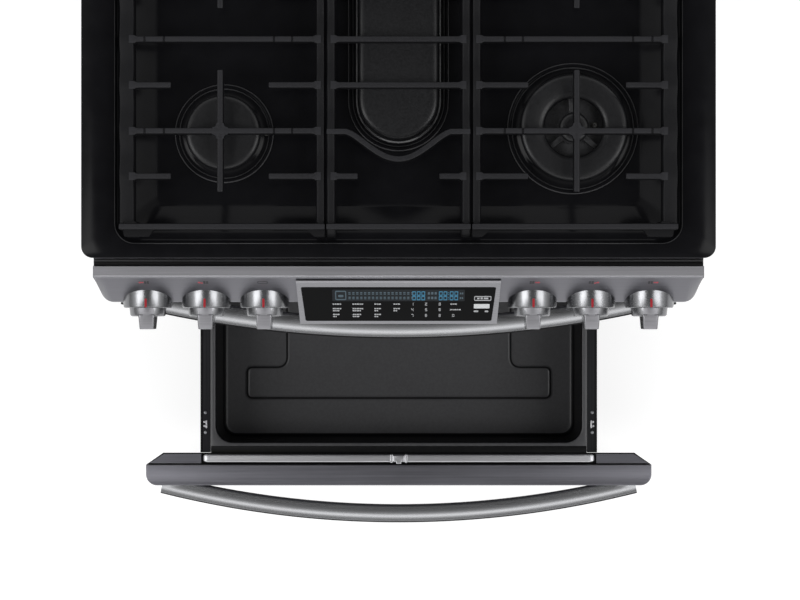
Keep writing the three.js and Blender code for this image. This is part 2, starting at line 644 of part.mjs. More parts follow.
// Display parts share one slanted face, from DISPLAY_TOP down to DISPLAY_LIP.
const displayFace = (() => {
  const run = DISPLAY_LIP[0] - DISPLAY_TOP[0];
  const fall = DISPLAY_LIP[1] - DISPLAY_TOP[1];
  const length = Math.hypot(run, fall);
  const along = [run / length, fall / length];
  const inward = [-along[1], along[0]];
  const at = (s, depth) => [
    DISPLAY_TOP[0] + along[0] * s + inward[0] * depth,
    DISPLAY_TOP[1] + along[1] * s + inward[1] * depth,
  ];
  return { length, at };
})();

// A slab under the display face between two places along it and two depths.
function displaySlab([start, end], [outer, inner], half) {
  const { at } = displayFace;
  return prismX([at(start, inner), at(start, outer), at(end, outer), at(end, inner)], [-half, half]);
}

function displayBezel() {
  const fasciaY = (z) => PANEL_EDGE[0] + ((PANEL_EDGE[1] - z) / (PANEL_EDGE[1] - PANEL_KNEE[1]))
    * (PANEL_KNEE[0] - PANEL_EDGE[0]);
  const clearance = PANEL_KNEE[0] - DISPLAY_CHIN[1][0];
  const topZ = DISPLAY_TOP[1] - 2 * GAP;
  const profile = [
    [fasciaY(topZ) - clearance, topZ], DISPLAY_TOP, DISPLAY_LIP, ...DISPLAY_CHIN,
    [DISPLAY_CHIN[1][0], PANEL_KNEE[1]],
  ];
  const body = prismX(profile, [-DISPLAY_HALF, DISPLAY_HALF]);
  const faceDepth = GLASS_THICKNESS + DISPLAY_WALL - 2 * GAP; // solid left under the face
  const hollowTop = topZ - 4 * DISPLAY_WALL;
  const hollowBack = DISPLAY_WALL + clearance; // runs past the housing's back
  const hollow = prismX([
    displayFace.at(4 * DISPLAY_WALL, faceDepth),
    displayFace.at(displayFace.length - 2 * DISPLAY_WALL, faceDepth),
    [PANEL_KNEE[0] + hollowBack, DISPLAY_CHIN[1][1] + DISPLAY_WALL],
    [PANEL_KNEE[0] + hollowBack, PANEL_KNEE[1]],
    [fasciaY(hollowTop) + hollowBack, hollowTop],
  ], [-DISPLAY_HALF + DISPLAY_WALL, DISPLAY_HALF - DISPLAY_WALL]);
  const window = displaySlab([DISPLAY_MARGIN - GAP, displayFace.length - DISPLAY_MARGIN + GAP],
    [-THROUGH, GLASS_THICKNESS + THROUGH], DISPLAY_HALF - DISPLAY_MARGIN + GAP);
  return cut(body, hollow, window);
}

function displayGlass() {
  return displaySlab([DISPLAY_MARGIN, displayFace.length - DISPLAY_MARGIN], [GLASS_SINK, GLASS_THICKNESS],
    DISPLAY_HALF - DISPLAY_MARGIN);
}

function gasManifold() {
  const pipes = [
    rodX(PIPE_RADIUS, MANIFOLD_Y, KNOB_Z, [MANIFOLD_END_X, FEED_X], SMALL_STEPS),
    rodY(PIPE_RADIUS, FEED_X, KNOB_Z, [MANIFOLD_Y, FEED_Y], SMALL_STEPS),
    rodZ(PIPE_RADIUS, FEED_X, FEED_Y, [INLET.z, KNOB_Z + PIPE_RADIUS], SMALL_STEPS),
  ];
  const regulator = rodZ(REGULATOR.radius, FEED_X, FEED_Y, REGULATOR.z);
  const inlet = rodY(INLET.radius, FEED_X, INLET.z, [FEED_Y - PIPE_RADIUS, INLET.endY], SMALL_STEPS);
  const valves = KNOB_PLACES.map((x) => cut(
    block([x - VALVE_HALF, x + VALVE_HALF], [VALVE_FRONT_Y, MANIFOLD_Y],
      [KNOB_Z - VALVE_HALF, KNOB_Z + VALVE_HALF]),
    rodY(STEM_RADIUS + 2 * GAP, x, KNOB_Z,
      [VALVE_FRONT_Y - THROUGH, VALVE_FRONT_Y + VALVE_BORE], SMALL_STEPS)));
  return join(...pipes, regulator, inlet, ...valves);
}

const KNOB_BACK_Y = BEZEL_FRONT_Y + BEZEL_RECESS_DEPTH - KNOB_TRAVEL_ROOM;

// The knob stands on its own axis: z = 0 is its rear face, its front is up.
function knob() {
  const skirt = turned([[0, 0], [KNOB_RADIUS - 1, 0], [KNOB_RADIUS, 1], [KNOB_RADIUS, KNOB_SKIRT - 2],
    [KNOB_RADIUS - 2, KNOB_SKIRT], [0, KNOB_SKIRT]]);
  const gripEnd = KNOB_SKIRT + KNOB_BLADE;
  const heights = [KNOB_SKIRT - THROUGH, gripEnd - 3, gripEnd];
  const grip = loft(KNOB_BLADE_STEPS.map(({ half, tall, radius }, i) => (
    { outline: roundedRectangle(half, [-tall, tall], radius), z: heights[i] })));
  return cut(join(skirt, grip), rodZ(STEM_RADIUS + GAP, 0, 0, [-THROUGH, KNOB_BORE_END], SMALL_STEPS));
}

// The stem shares the knob's axis and its rear-face zero.
function valveStem() {
  const tip = KNOB_BACK_Y - (VALVE_FRONT_Y + VALVE_BORE - KNOB_TRAVEL_ROOM);
  return rodZ(STEM_RADIUS, 0, 0, [tip, STEM_END], SMALL_STEPS);
}

// ---------------------------------------------------------------- oven

function ovenCavity() {
  const out = OVEN_HALF + LINER;
  const depth = [BODY_FRONT_Y, OVEN_BACK_Y];
  const box = block([-out, out], [depth[0], depth[1] + LINER], [OVEN_FLOOR - LINER, OVEN_ROOF + LINER]);
  const frame = block([-OVEN_FRAME_HALF, OVEN_FRAME_HALF], [depth[0], depth[0] + LINER],
    [OVEN_FRAME_BOTTOM, OVEN_FRAME_TOP]);
  const hollow = block([-OVEN_HALF, OVEN_HALF], [depth[0] - THROUGH, depth[1]], [OVEN_FLOOR, OVEN_ROOF]);
  const ledges = RACK_LEDGES.flatMap((z) => SIDES.map(([, side]) =>
    sideBlock(side, [OVEN_HALF - LEDGE_WIDTH, OVEN_HALF + LINER], LEDGE_Y, [z, z + LEDGE_HEIGHT])));
  const lugs = SIDES.map(([, side]) => cut(
    sideBlock(side, HINGE_LUG_X, [HINGE_Y - HINGE_LUG_REACH, BODY_FRONT_Y + LINER],
      [HINGE_Z - HINGE_LUG_REACH, HINGE_Z + HINGE_LUG_REACH]),
    rodX(HINGE_PIN + PIN_CLEARANCE, HINGE_Y, HINGE_Z, HINGE_PIN_X.map((x) => side * x), SMALL_STEPS)));
  return join(cut(box.add(frame), hollow), ...ledges, ...lugs);
}

function ovenInsulation() {
  const inner = OVEN_HALF + LINER + GAP;
  const front = BODY_FRONT_Y + LINER + GAP;
  const back = OVEN_BACK_Y + LINER + GAP;
  const roof = OVEN_ROOF + LINER + GAP;
  return cut(
    block([-inner - INSULATION, inner + INSULATION], [front, back + INSULATION],
      [OVEN_FLOOR, roof + INSULATION]),
    block([-inner, inner], [front - THROUGH, back], [OVEN_FLOOR - THROUGH, roof]));
}

// A tube that runs to the rear, bends across and comes back.
function burnerLoop({ half, radius, z }) {
  const { front, straight, rear } = OVEN_BURNER_Y;
  const bend = half * 0.55;
  const leftLeg = [[-half, front, z], [-half, straight, z], [-half, rear - 2 * bend, z], [-bend, rear, z]];
  const rightLeg = leftLeg.map(([x, y]) => [-x, y, z]).reverse();
  return tube([...leftLeg, ...rightLeg], radius, { steps: 18, sides: 6 });
}

function ovenRack(z) {
  const { clearance, y, wire, pitch, places } = RACK;
  const half = OVEN_HALF - clearance;
  const bottom = z + LEDGE_HEIGHT + GAP;
  const rim = cut(block([-half, half], y, [bottom, bottom + wire]),
    block([-half + wire, half - wire], [y[0] + wire, y[1] - wire],
      [bottom - THROUGH, bottom + wire + THROUGH]));
  const wireZ = [bottom + GAP, bottom + wire - GAP]; // a little thinner than the rim
  const wires = places.map((place) =>
    block([place * pitch - wire / 2, place * pitch + wire / 2], [y[0] + THROUGH, y[1] - THROUGH], wireZ));
  return join(rim, ...wires);
}

function doorGasket() {
  const { below, above, width, radius } = GASKET;
  const z = [OVEN_FLOOR - below, OVEN_ROOF + above];
  const ring = (inset) => roundedRectangle(OVEN_HALF + above - inset, [z[0] + inset, z[1] - inset], radius);
  const depth = BODY_FRONT_Y - DOOR_BACK_Y - 2 * GAP;
  const band = cut(prismZ(ring(0), [0, depth]), prismZ(ring(width), [-THROUGH, depth + THROUGH]));
  return toSolid(toGeometry(band).rotateX(Math.PI / 2).translate(0, BODY_FRONT_Y - GAP, 0));
}

// ---------------------------------------------------------------- door

// Plan outline of the door and the drawer front: rounded front corners, straight back.
function facePlan(inset, backY) {
  const half = BODY_HALF - inset;
  const front = FACE_Y + inset;
  const radius = FACE_CORNER - inset;
  return [
    [half, backY], [-half, backY],
    ...arc(-half + radius, front + radius, radius, radius, Math.PI, 1.5 * Math.PI),
    ...arc(half - radius, front + radius, radius, radius, 1.5 * Math.PI, 2 * Math.PI),
  ];
}

const hingeNotches = () => SIDES.map(([, side]) =>
  sideBlock(side, [HINGE_LUG_X[0] - NOTCH_ROOM, HINGE_LUG_X[1] + NOTCH_ROOM],
    [HINGE_Y - HINGE_LUG_REACH - NOTCH_ROOM, DOOR_BACK_Y + THROUGH],
    [DOOR_BOTTOM - THROUGH, HINGE_Z + HINGE_LUG_REACH + NOTCH_ROOM]));

function doorOuterPanel() {
  const shell = cut(
    prismZ(facePlan(0, DOOR_SPLIT_Y), [DOOR_BOTTOM, DOOR_TOP]),
    prismZ(facePlan(SHEET, DOOR_SPLIT_Y + THROUGH), [DOOR_BOTTOM + SHEET, DOOR_TOP - SHEET]));
  const window = block([-WINDOW.half, WINDOW.half], [FACE_Y - THROUGH, DOOR_SPLIT_Y], WINDOW.z);
  return cut(shell, window, ...hingeNotches());
}

function doorWindowGlass() {
  const { half, z, lap, glass } = WINDOW;
  const front = FACE_Y + SHEET + GAP;
  return block([-half - lap, half + lap], [front, front + glass], [z[0] - lap, z[1] + lap]);
}

function doorInnerPanel() {
  const half = BODY_HALF - DOOR_INNER_MARGIN.side;
  const y = [DOOR_SPLIT_Y + GAP, DOOR_BACK_Y];
  const z = [DOOR_BOTTOM + DOOR_INNER_MARGIN.end, DOOR_TOP - DOOR_INNER_MARGIN.end];
  const shell = cut(block([-half, half], y, z),
    block([-half + SHEET, half - SHEET], [y[0] - THROUGH, y[1] - SHEET], [z[0] + SHEET, z[1] - SHEET]));
  const window = block([-INNER_WINDOW.half, INNER_WINDOW.half], [y[0], y[1] + THROUGH], INNER_WINDOW.z);
  return cut(shell, window, ...hingeNotches());
}

// Arc of the handle in plan, bowed towards the cook.
class HandleArc extends THREE.Curve {
  constructor() {
    super();
    const outerRadius = (HANDLE_HALF ** 2 + HANDLE_SAG ** 2) / (2 * HANDLE_SAG);
    this.radius = outerRadius - HANDLE_DEPTH / 2;
    this.centreY = FACE_Y - HANDLE_REACH + outerRadius;
    // The bar runs past both ends, which are trimmed off later.
    this.halfAngle = Math.asin((HANDLE_HALF + HANDLE_DEPTH / 2) / outerRadius);
  }

  getPoint(t) {
    const angle = (2 * t - 1) * this.halfAngle;
    const x = this.radius * Math.sin(angle);
    return new THREE.Vector3(x, this.centreY - this.radius * Math.cos(angle), 0);
  }
}

// A bowed bar whose ends are trimmed flat against the face that carries it.
function bowedHandle(centreZ) {
  const ellipse = arc(0, 0, HANDLE_HEIGHT / 2, HANDLE_DEPTH / 2, 0, 2 * Math.PI, SMALL_STEPS);
  const section = shapeOf(ellipse.slice(0, SMALL_STEPS));
  const bar = new THREE.ExtrudeGeometry(section,
    { steps: HANDLE_CHORDS, extrudePath: new HandleArc(), bevelEnabled: false });
  const keep = block([-HANDLE_HALF, HANDLE_HALF], [FACE_Y - 2 * HANDLE_REACH, FACE_Y - GAP],
    [centreZ - HANDLE_HEIGHT, centreZ + HANDLE_HEIGHT]);
  return toSolid(bar.translate(0, 0, centreZ)).intersect(keep);
}

// Pin and arm of one door hinge, between the two door panels.
function doorHinge(side) {
  const pin = rodX(HINGE_PIN, HINGE_Y, HINGE_Z, HINGE_PIN_X.map((x) => side * x), SMALL_STEPS);
  const arm = sideBlock(side, HINGE_ARM_X, [HINGE_Y, DOOR_BACK_Y - SHEET - GAP],
    [HINGE_Z - HINGE_LUG_REACH, HINGE_Z + HINGE_ARM_HEIGHT]);
  return join(pin, arm);
}

// ---------------------------------------------------------------- drawer

const DRAWER_BACK_Y = FACE_Y + DRAWER_THICKNESS;

function drawerFront() {
  const outline = (inset) => {
    const [rightShoulder, leftShoulder, ...front] = facePlan(inset, FACE_Y + DRAWER_SHOULDER);
    const backHalf = DRAWER_BACK_HALF - inset;
    const backY = DRAWER_BACK_Y - inset;
    return [rightShoulder, [backHalf, backY], [-backHalf, backY], leftShoulder, ...front];
  };
  return cut(prismZ(outline(0), [DRAWER_BOTTOM, DRAWER_TOP]),
    prismZ(outline(SHEET), [DRAWER_BOTTOM - THROUGH, DRAWER_TOP - SHEET]));
}

function drawerPan() {
  const outline = (half, corner, grow) => roundedRectangle(half + grow,
    [PAN_FRONT_Y + PAN_RIM_HALF - half - grow, PAN_BACK_Y - PAN_RIM_HALF + half + grow], corner + grow);
  const rim = (grow, z) => ({ outline: outline(PAN_RIM_HALF, PAN_RIM_CORNER, grow), z });
  const floor = (grow, z) => ({ outline: outline(PAN_FLOOR_HALF, PAN_FLOOR_CORNER, grow), z });
  const outside = loft([floor(SHEET, PAN_FLOOR - SHEET), rim(SHEET, PAN_RIM)]);
  const inside = loft([floor(0, PAN_FLOOR), rim(0, PAN_RIM), rim(0, PAN_RIM + THROUGH)]);
  const flange = block([-PAN_FLANGE_HALF, PAN_FLANGE_HALF], [DRAWER_BACK_Y + GAP, PAN_FLANGE_BACK_Y],
    [PAN_RIM - SHEET, PAN_RIM]);
  const brackets = SIDES.map(([, side]) => sideBlock(side, DRAWER_BRACKET.x,
    [DRAWER_BACK_Y + GAP, PAN_FRONT_Y + THROUGH], DRAWER_BRACKET.z));
  return cut(join(outside, flange, ...brackets), inside);
}

function drawerRail(side) {
  const y = [DRAWER_BACK_Y + GAP, PAN_BACK_Y];
  const x = [PAN_FLANGE_HALF + GAP, RAIL_OUTER];
  return cut(sideBlock(side, x, y, RAIL_Z), sideBlock(side, [x[0] + SHEET, x[1] + THROUGH],
    [y[0] - THROUGH, y[1] + THROUGH], [RAIL_Z[0] + SHEET, RAIL_Z[1] - SHEET]));
}

function cabinetRail(side) {
  const { clearance, width, y, bracketY, bracketLength } = CABINET_RAIL;
  const x = [RAIL_OUTER + clearance, RAIL_OUTER + clearance + width];
  const z = [RAIL_Z[0] - SHEET, RAIL_Z[1] + SHEET];
  const channel = cut(sideBlock(side, x, y, z), sideBlock(side, [x[0] - THROUGH, x[1] - SHEET],
    [y[0] - THROUGH, y[1] + THROUGH], [z[0] + SHEET, z[1] - SHEET]));
  const middleZ = (z[0] + z[1]) / 2;
  const brackets = bracketY.map((start) => sideBlock(side, [x[1] - SHEET, SIDE_INNER - GAP],
    [start, start + bracketLength], [middleZ - SHEET / 2, middleZ + SHEET / 2]));
  return join(channel, ...brackets);
}

// ---------------------------------------------------------------- assembly

addPiece('base_frame', baseFrame(), PAINTED_STEEL);
for (const [place, y] of [['front', FOOT_Y[0]], ['rear', FOOT_Y[1]]]) {
  for (const [hand, side] of SIDES) {
    addPiece(`foot_${place}_${hand}`, levellingFoot(), FOOT_PLASTIC).position.set(side * FOOT_X, y, 0);
  }
}
addPiece('back_panel', backPanel(), ZINC_STEEL);
addPiece('rear_vent_trim', rearVentTrim(), BLACK_ENAMEL);
addPiece('cooktop', cooktop(), BLACK_ENAMEL);
addPiece('control_panel', controlPanel(), STAINLESS);
addPiece('display_bezel', displayBezel(), STAINLESS);
addPiece('display_glass', displayGlass(), BLACK_GLASS);
addPiece('gas_manifold', gasManifold(), ZINC_STEEL);

for (const burner of BURNERS) {
  const base = addPiece(`burner_base_${burner.name}`, burnerBase(burner), BURNER_METAL);
  const capSolid = burner.opening ? ringCap(burner) : roundCap(burner.cap);
  const cap = addPiece(`burner_cap_${burner.name}`, capSolid, CAST_IRON);
  const parts = [base, cap];
  if (burner.opening) {
    parts.push(addPiece(`burner_cap_${burner.name}_inner`, roundCap(burner.innerCap), CAST_IRON));
  }
  parts.forEach((part) => part.position.set(burner.x, burner.y, 0));
}
addPiece('burner_base_centre', ovalBase(), BURNER_METAL);
addPiece('burner_cap_centre', ovalCap(), CAST_IRON);
addPiece('grate_centre', centreGrate(), CAST_IRON);

addPiece('oven_cavity', ovenCavity(), OVEN_ENAMEL);
addPiece('oven_insulation', ovenInsulation(), GLASS_WOOL);
addPiece('bake_burner', burnerLoop(BAKE_BURNER), ZINC_STEEL);
addPiece('broil_burner', burnerLoop(BROIL_BURNER), ZINC_STEEL);
addPiece('oven_rack_lower', ovenRack(RACK_LEDGES[0]), CHROME_WIRE);
addPiece('oven_rack_upper', ovenRack(RACK_LEDGES[1]), CHROME_WIRE);
addPiece('door_gasket', doorGasket(), GASKET_FIBRE);

addPiece('door_outer_panel', doorOuterPanel(), STAINLESS);
addPiece('door_window_glass', doorWindowGlass(), BLACK_GLASS);
addPiece('door_inner_panel', doorInnerPanel(), OVEN_ENAMEL);
addPiece('door_handle', bowedHandle(DOOR_HANDLE_Z), BRIGHT_STEEL);

addPiece('drawer_front', drawerFront(), STAINLESS, drawer);
addPiece('drawer_pan', drawerPan(), PAINTED_STEEL, drawer);
addPiece('drawer_handle', bowedHandle(DRAWER_HANDLE_Z), BRIGHT_STEEL, drawer);

for (const [hand, side] of SIDES) {
  addPiece(`side_panel_${hand}`, sidePanel(side), PAINTED_STEEL);
  addPiece(`grate_${hand}`, sideGrate(side), CAST_IRON);
  addPiece(`door_hinge_${hand}`, doorHinge(side), ZINC_STEEL);
  addPiece(`cabinet_rail_${hand}`, cabinetRail(side), ZINC_STEEL);
  addPiece(`drawer_rail_${hand}`, drawerRail(side), ZINC_STEEL, drawer);
}

// Knobs and stems are numbered 1 to 6 from the cook's left.
KNOB_PLACES.forEach((x, i) => {
  const parts = [
    addPiece(`valve_stem_${i + 1}`, valveStem(), ZINC_STEEL),
    addPiece(`knob_${i + 1}`, knob(), BRIGHT_STEEL),
  ];
  for (const part of parts) {
    part.position.set(x, KNOB_BACK_Y, KNOB_Z);
    part.rotation.x = Math.PI / 2;
  }
});

export default range;
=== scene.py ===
"""Looks of a freestanding gas range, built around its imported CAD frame.

Pieces are drawn in millimetres, with y = 0 at the cooktop's front edge and +y to the rear. place() turns such
a point into metres in the shared frame, so every piece follows the frame's own boxes.
"""

import math

import bmesh
import bpy
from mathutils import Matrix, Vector


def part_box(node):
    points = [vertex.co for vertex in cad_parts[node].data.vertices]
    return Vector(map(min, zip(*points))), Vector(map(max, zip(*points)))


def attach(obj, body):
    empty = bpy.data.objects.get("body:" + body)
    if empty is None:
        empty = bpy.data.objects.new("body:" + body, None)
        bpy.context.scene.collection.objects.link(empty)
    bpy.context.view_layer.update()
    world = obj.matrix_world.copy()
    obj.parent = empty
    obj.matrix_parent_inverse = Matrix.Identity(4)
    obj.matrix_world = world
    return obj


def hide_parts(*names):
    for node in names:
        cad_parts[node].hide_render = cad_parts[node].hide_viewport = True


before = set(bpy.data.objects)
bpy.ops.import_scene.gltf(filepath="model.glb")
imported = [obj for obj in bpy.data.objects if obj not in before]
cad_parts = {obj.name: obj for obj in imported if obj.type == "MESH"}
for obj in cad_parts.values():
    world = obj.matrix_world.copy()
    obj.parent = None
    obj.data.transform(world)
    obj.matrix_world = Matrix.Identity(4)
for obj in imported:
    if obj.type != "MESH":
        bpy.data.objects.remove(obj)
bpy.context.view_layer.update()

MM = 0.001
FRONT_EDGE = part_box("cooktop")[0].y
BODY = "body"
DOOR = "oven_door"
DRAWER = "storage_drawer"
SIDES = (("left", -1), ("right", 1))


def place(point):
    """A drawn point as metres in the shared frame."""
    x, y, z = point
    return (x * MM, FRONT_EDGE + y * MM, z * MM)


def span(node):
    """The x, y and z ranges of a CAD node, as drawn millimetres."""
    low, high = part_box(node)
    shift = (0.0, FRONT_EDGE, 0.0)
    return [((low[i] - shift[i]) / MM, (high[i] - shift[i]) / MM) for i in range(3)]


# ---------------------------------------------------------------- sizes taken from the frame

COOKTOP_X, COOKTOP_Y, COOKTOP_Z = span("cooktop")
COOKTOP_HALF = COOKTOP_X[1]
DECK_TOP = COOKTOP_Z[1]
GRATE_TOP = span("grate_centre")[2][1]
GRATE_FOOT = span("grate_centre")[2][0]
WELL_MIDDLE = sum(span("grate_centre")[1]) / 2
WELL_FLOOR = span("burner_cap_centre")[2][0] - 18.3
PANEL_X, PANEL_Y, PANEL_Z = span("control_panel")
DOOR_X, DOOR_Y, DOOR_Z = span("door_outer_panel")
FACE = DOOR_Y[0]
DRAWER_X, DRAWER_Y, DRAWER_Z = span("drawer_front")
DRAWER_OUT = FACE - DRAWER_Y[0]
PAN_X, PAN_Y, PAN_Z = span("drawer_pan")


# ---------------------------------------------------------------- materials

NO_STRETCH = (1, 1, 1)
NOISE_DETAIL = 4.0
NOISE_RANGE = (0.3, 0.7)
BROAD_SCALE = 7.0
BROAD_SHARE = 0.35
FINE_SHARE = 0.65
GRAIN_RANGE = (0.38, 0.62)
EDGE_POINTINESS = (0.52, 0.62)
SPECK_SCALE = 260
SPECK_RANGE = (0.10, 0.16)


def shader(name):
    """A new node material and its principled shader."""
    material = bpy.data.materials.new(name)
    material.use_nodes = True
    return material, material.node_tree, material.node_tree.nodes["Principled BSDF"]


def noise(tree, scale, stretch=NO_STRETCH):
    """A noise texture in object coordinates, stretched along each axis."""
    coords = tree.nodes.new("ShaderNodeTexCoord")
    mapping = tree.nodes.new("ShaderNodeMapping")
    mapping.inputs["Scale"].default_value = stretch
    texture = tree.nodes.new("ShaderNodeTexNoise")
    texture.inputs["Scale"].default_value = scale
    texture.inputs["Detail"].default_value = NOISE_DETAIL
    tree.links.new(coords.outputs["Object"], mapping.inputs["Vector"])
    tree.links.new(mapping.outputs["Vector"], texture.inputs["Vector"])
    return texture.outputs["Fac"]


def ramp(tree, value, low, high, stops=NOISE_RANGE):
    """A colour ramp between two colours."""
    node = tree.nodes.new("ShaderNodeValToRGB")
    for element, position, colour in zip(node.color_ramp.elements, stops, (low, high)):
        element.position = position
        element.color = (*colour, 1)
    tree.links.new(value, node.inputs["Fac"])
    return node.outputs["Color"]


def spread(tree, value, low, high):
    """A value mapped from the middle of a noise onto a range."""
    node = tree.nodes.new("ShaderNodeMapRange")
    node.inputs["From Min"].default_value, node.inputs["From Max"].default_value = NOISE_RANGE
    node.inputs["To Min"].default_value = low
    node.inputs["To Max"].default_value = high
    tree.links.new(value, node.inputs["Value"])
    return node.outputs["Result"]


def bump(tree, bsdf, value, strength, distance):
    """Small relief in the surface's normal."""
    node = tree.nodes.new("ShaderNodeBump")
    node.inputs["Strength"].default_value = strength
    node.inputs["Distance"].default_value = distance
    tree.links.new(value, node.inputs["Height"])
    tree.links.new(node.outputs["Normal"], bsdf.inputs["Normal"])


def shade(colour, factor):
    """A colour made darker or lighter."""
    return tuple(min(1.0, channel * factor) for channel in colour)


def grained(name, colour, vary, roughness, grain, stretch=NO_STRETCH, relief=0.0, depth=0.0002,
            metallic=0.0, specular=0.5, edge_highlight=0.0):
    """A material with grain in its colour, roughness and relief, soft large-scale variation, and optionally a
    painted highlight on sticking-out edges.
    """
    material, tree, bsdf = shader(name)
    fine = noise(tree, grain, stretch)
    broad = noise(tree, BROAD_SCALE)
    mixed = tree.nodes.new("ShaderNodeMath")
    mixed.operation = "MULTIPLY_ADD"
    mixed.inputs[1].default_value = BROAD_SHARE
    tree.links.new(broad, mixed.inputs[0])
    scaled = tree.nodes.new("ShaderNodeMath")
    scaled.operation = "MULTIPLY"
    scaled.inputs[1].default_value = FINE_SHARE
    tree.links.new(fine, scaled.inputs[0])
    tree.links.new(scaled.outputs["Value"], mixed.inputs[2])
    both = mixed.outputs["Value"]
    colour_out = ramp(tree, both, shade(colour, 1 - vary), shade(colour, 1 + vary), GRAIN_RANGE)
    # painted highlight: edges that stick out get a lighter colour
    if edge_highlight:
        colour_out = painted_edge_highlight(tree, colour_out, shade(colour, 1 + edge_highlight))
    tree.links.new(colour_out, bsdf.inputs["Base Color"])
    tree.links.new(spread(tree, both, *roughness), bsdf.inputs["Roughness"])
    bsdf.inputs["Metallic"].default_value = metallic
    bsdf.inputs["Specular IOR Level"].default_value = specular
    if relief:
        bump(tree, bsdf, fine, relief, depth)
    return material


def painted_edge_highlight(tree, colour_out, edge_colour):
    """Painted highlight: lighter colour where the surface's edges stick out."""
    geometry = tree.nodes.new("ShaderNodeNewGeometry")
    mask = tree.nodes.new("ShaderNodeMapRange")
    mask.inputs["From Min"].default_value, mask.inputs["From Max"].default_value = EDGE_POINTINESS
    tree.links.new(geometry.outputs["Pointiness"], mask.inputs["Value"])
    blend = tree.nodes.new("ShaderNodeMix")
    blend.data_type = "RGBA"
    tree.links.new(mask.outputs["Result"], blend.inputs["Factor"])
    tree.links.new(colour_out, blend.inputs["A"])
    blend.inputs["B"].default_value = (*edge_colour, 1)
    return blend.outputs["Result"]


def speckled(name, colour, speck, roughness):
    """Fired enamel with fine pale specks."""
    material, tree, bsdf = shader(name)
    coords = tree.nodes.new("ShaderNodeTexCoord")
    cells = tree.nodes.new("ShaderNodeTexVoronoi")
    cells.inputs["Scale"].default_value = SPECK_SCALE
    tree.links.new(coords.outputs["Object"], cells.inputs["Vector"])
    colours = ramp(tree, cells.outputs["Distance"], speck, colour, SPECK_RANGE)
    tree.links.new(colours, bsdf.inputs["Base Color"])
    tree.links.new(spread(tree, noise(tree, 30), *roughness), bsdf.inputs["Roughness"])
    bsdf.inputs["Coat Weight"].default_value = 0.4
    bump(tree, bsdf, noise(tree, 90), 0.05, 0.0002)
    return material


def glowing(name, colour, strength):
    """Lit segments, a little uneven from end to end."""
    material, tree, bsdf = shader(name)
    unlit = ramp(tree, noise(tree, 220), shade(colour, 0.5), shade(colour, 0.6))
    lit = ramp(tree, noise(tree, 160), shade(colour, 0.8), colour)
    tree.links.new(unlit, bsdf.inputs["Base Color"])
    tree.links.new(lit, bsdf.inputs["Emission Color"])
    bsdf.inputs["Emission Strength"].default_value = strength
    bsdf.inputs["Roughness"].default_value = 0.4
    bsdf.inputs["Specular IOR Level"].default_value = 0.05
    return material


ALONG_X = (6, 700, 700)
ALONG_Z = (700, 700, 6)

STAINLESS = grained("dark_brushed_steel", (0.135, 0.134, 0.150), 0.10, (0.32, 0.44), 1.0, ALONG_X,
                    relief=0.05, depth=0.00005, metallic=1.0)
# Lighter copy of the brushed steel: painted highlight on upward faces (fascia top strip, knob grip tops,
# display top).
HIGHLIGHT_STEEL = grained("brushed_steel_painted_highlight", (0.25, 0.248, 0.262), 0.08, (0.44, 0.52), 1.0, ALONG_X,
                    relief=0.05, depth=0.00005, metallic=1.0)
HANDLE_STEEL = grained("handle_steel", (0.25, 0.252, 0.26), 0.03, (0.25, 0.29), 1.0, ALONG_X, metallic=1.0)
KNOB_STEEL = grained("knob_steel", (0.21, 0.212, 0.22), 0.04, (0.24, 0.28), 1.0, ALONG_Z, metallic=1.0)
# Bright steel for the drawer bead, latch and clips; also a painted highlight on the fascia top strip's bend.
BEAD_STEEL_AND_HIGHLIGHT = grained("drawer_bead_steel_and_painted_highlight", (0.42, 0.42, 0.435), 0.06, (0.32, 0.38), 1.0, ALONG_X,
                     metallic=1.0)
FRAME_STEEL = grained("display_frame_steel", (0.24, 0.24, 0.255), 0.05, (0.24, 0.32), 1.0, ALONG_X,
                      relief=0.02, depth=0.00003, metallic=1.0)
ENAMEL = grained("black_enamel", (0.0048, 0.0048, 0.0056), 0.10, (0.12, 0.20), 45, relief=0.01, depth=0.0003,
                 specular=0.08)
# Lighter enamel: painted highlight on the sloping rim faces of the deck and the drip rings.
ENAMEL_HIGHLIGHT = grained("black_enamel_painted_highlight", (0.045, 0.045, 0.047), 0.10, (0.15, 0.22), 45, specular=0.5)
# The cast iron's sticking-out edges get a painted highlight.
CAST_IRON = grained("cast_iron", (0.0095, 0.0095, 0.0112), 0.25, (0.40, 0.58), 650, relief=0.25,
                    depth=0.0003,
                    specular=0.22, edge_highlight=0.6)
# Darker copy of the cast iron: painted shade on the grates' low faces and notches.
SHADED_IRON = grained("cast_iron_painted_shade", (0.0042, 0.0042, 0.005), 0.25, (0.45, 0.6), 650, relief=0.25,
                    depth=0.0003,
                    specular=0.14)
CAP_ENAMEL = grained("burner_cap_enamel", (0.0065, 0.0066, 0.0075), 0.25, (0.30, 0.42), 420, relief=0.06,
                     depth=0.0002, specular=0.3)
BURNER_METAL = grained("burner_aluminium", (0.045, 0.045, 0.047), 0.25, (0.38, 0.58), 380, relief=0.15,
                       metallic=0.8)
BLACK_GLASS = grained("black_glass", (0.0016, 0.0017, 0.0019), 0.15, (0.05, 0.09), 12, specular=0.025)
WINDOW_GLASS = grained("window_glass", (0.006, 0.007, 0.008), 0.15, (0.04, 0.08), 10, specular=0.3)
TRAY_PAINT = grained("tray_paint", (0.034, 0.034, 0.0365), 0.12, (0.38, 0.50), 260, relief=0.05,
                     specular=0.45)
# Near-black tray colour: painted shade on the tray's walls and in the groove line.
TRAY_SHADE = grained("tray_painted_shade", (0.0025, 0.0025, 0.003), 0.2, (0.45, 0.55), 260, relief=0.05,
                    specular=0.12)
BODY_PAINT = grained("body_paint", (0.030, 0.031, 0.034), 0.12, (0.40, 0.55), 300, relief=0.10)
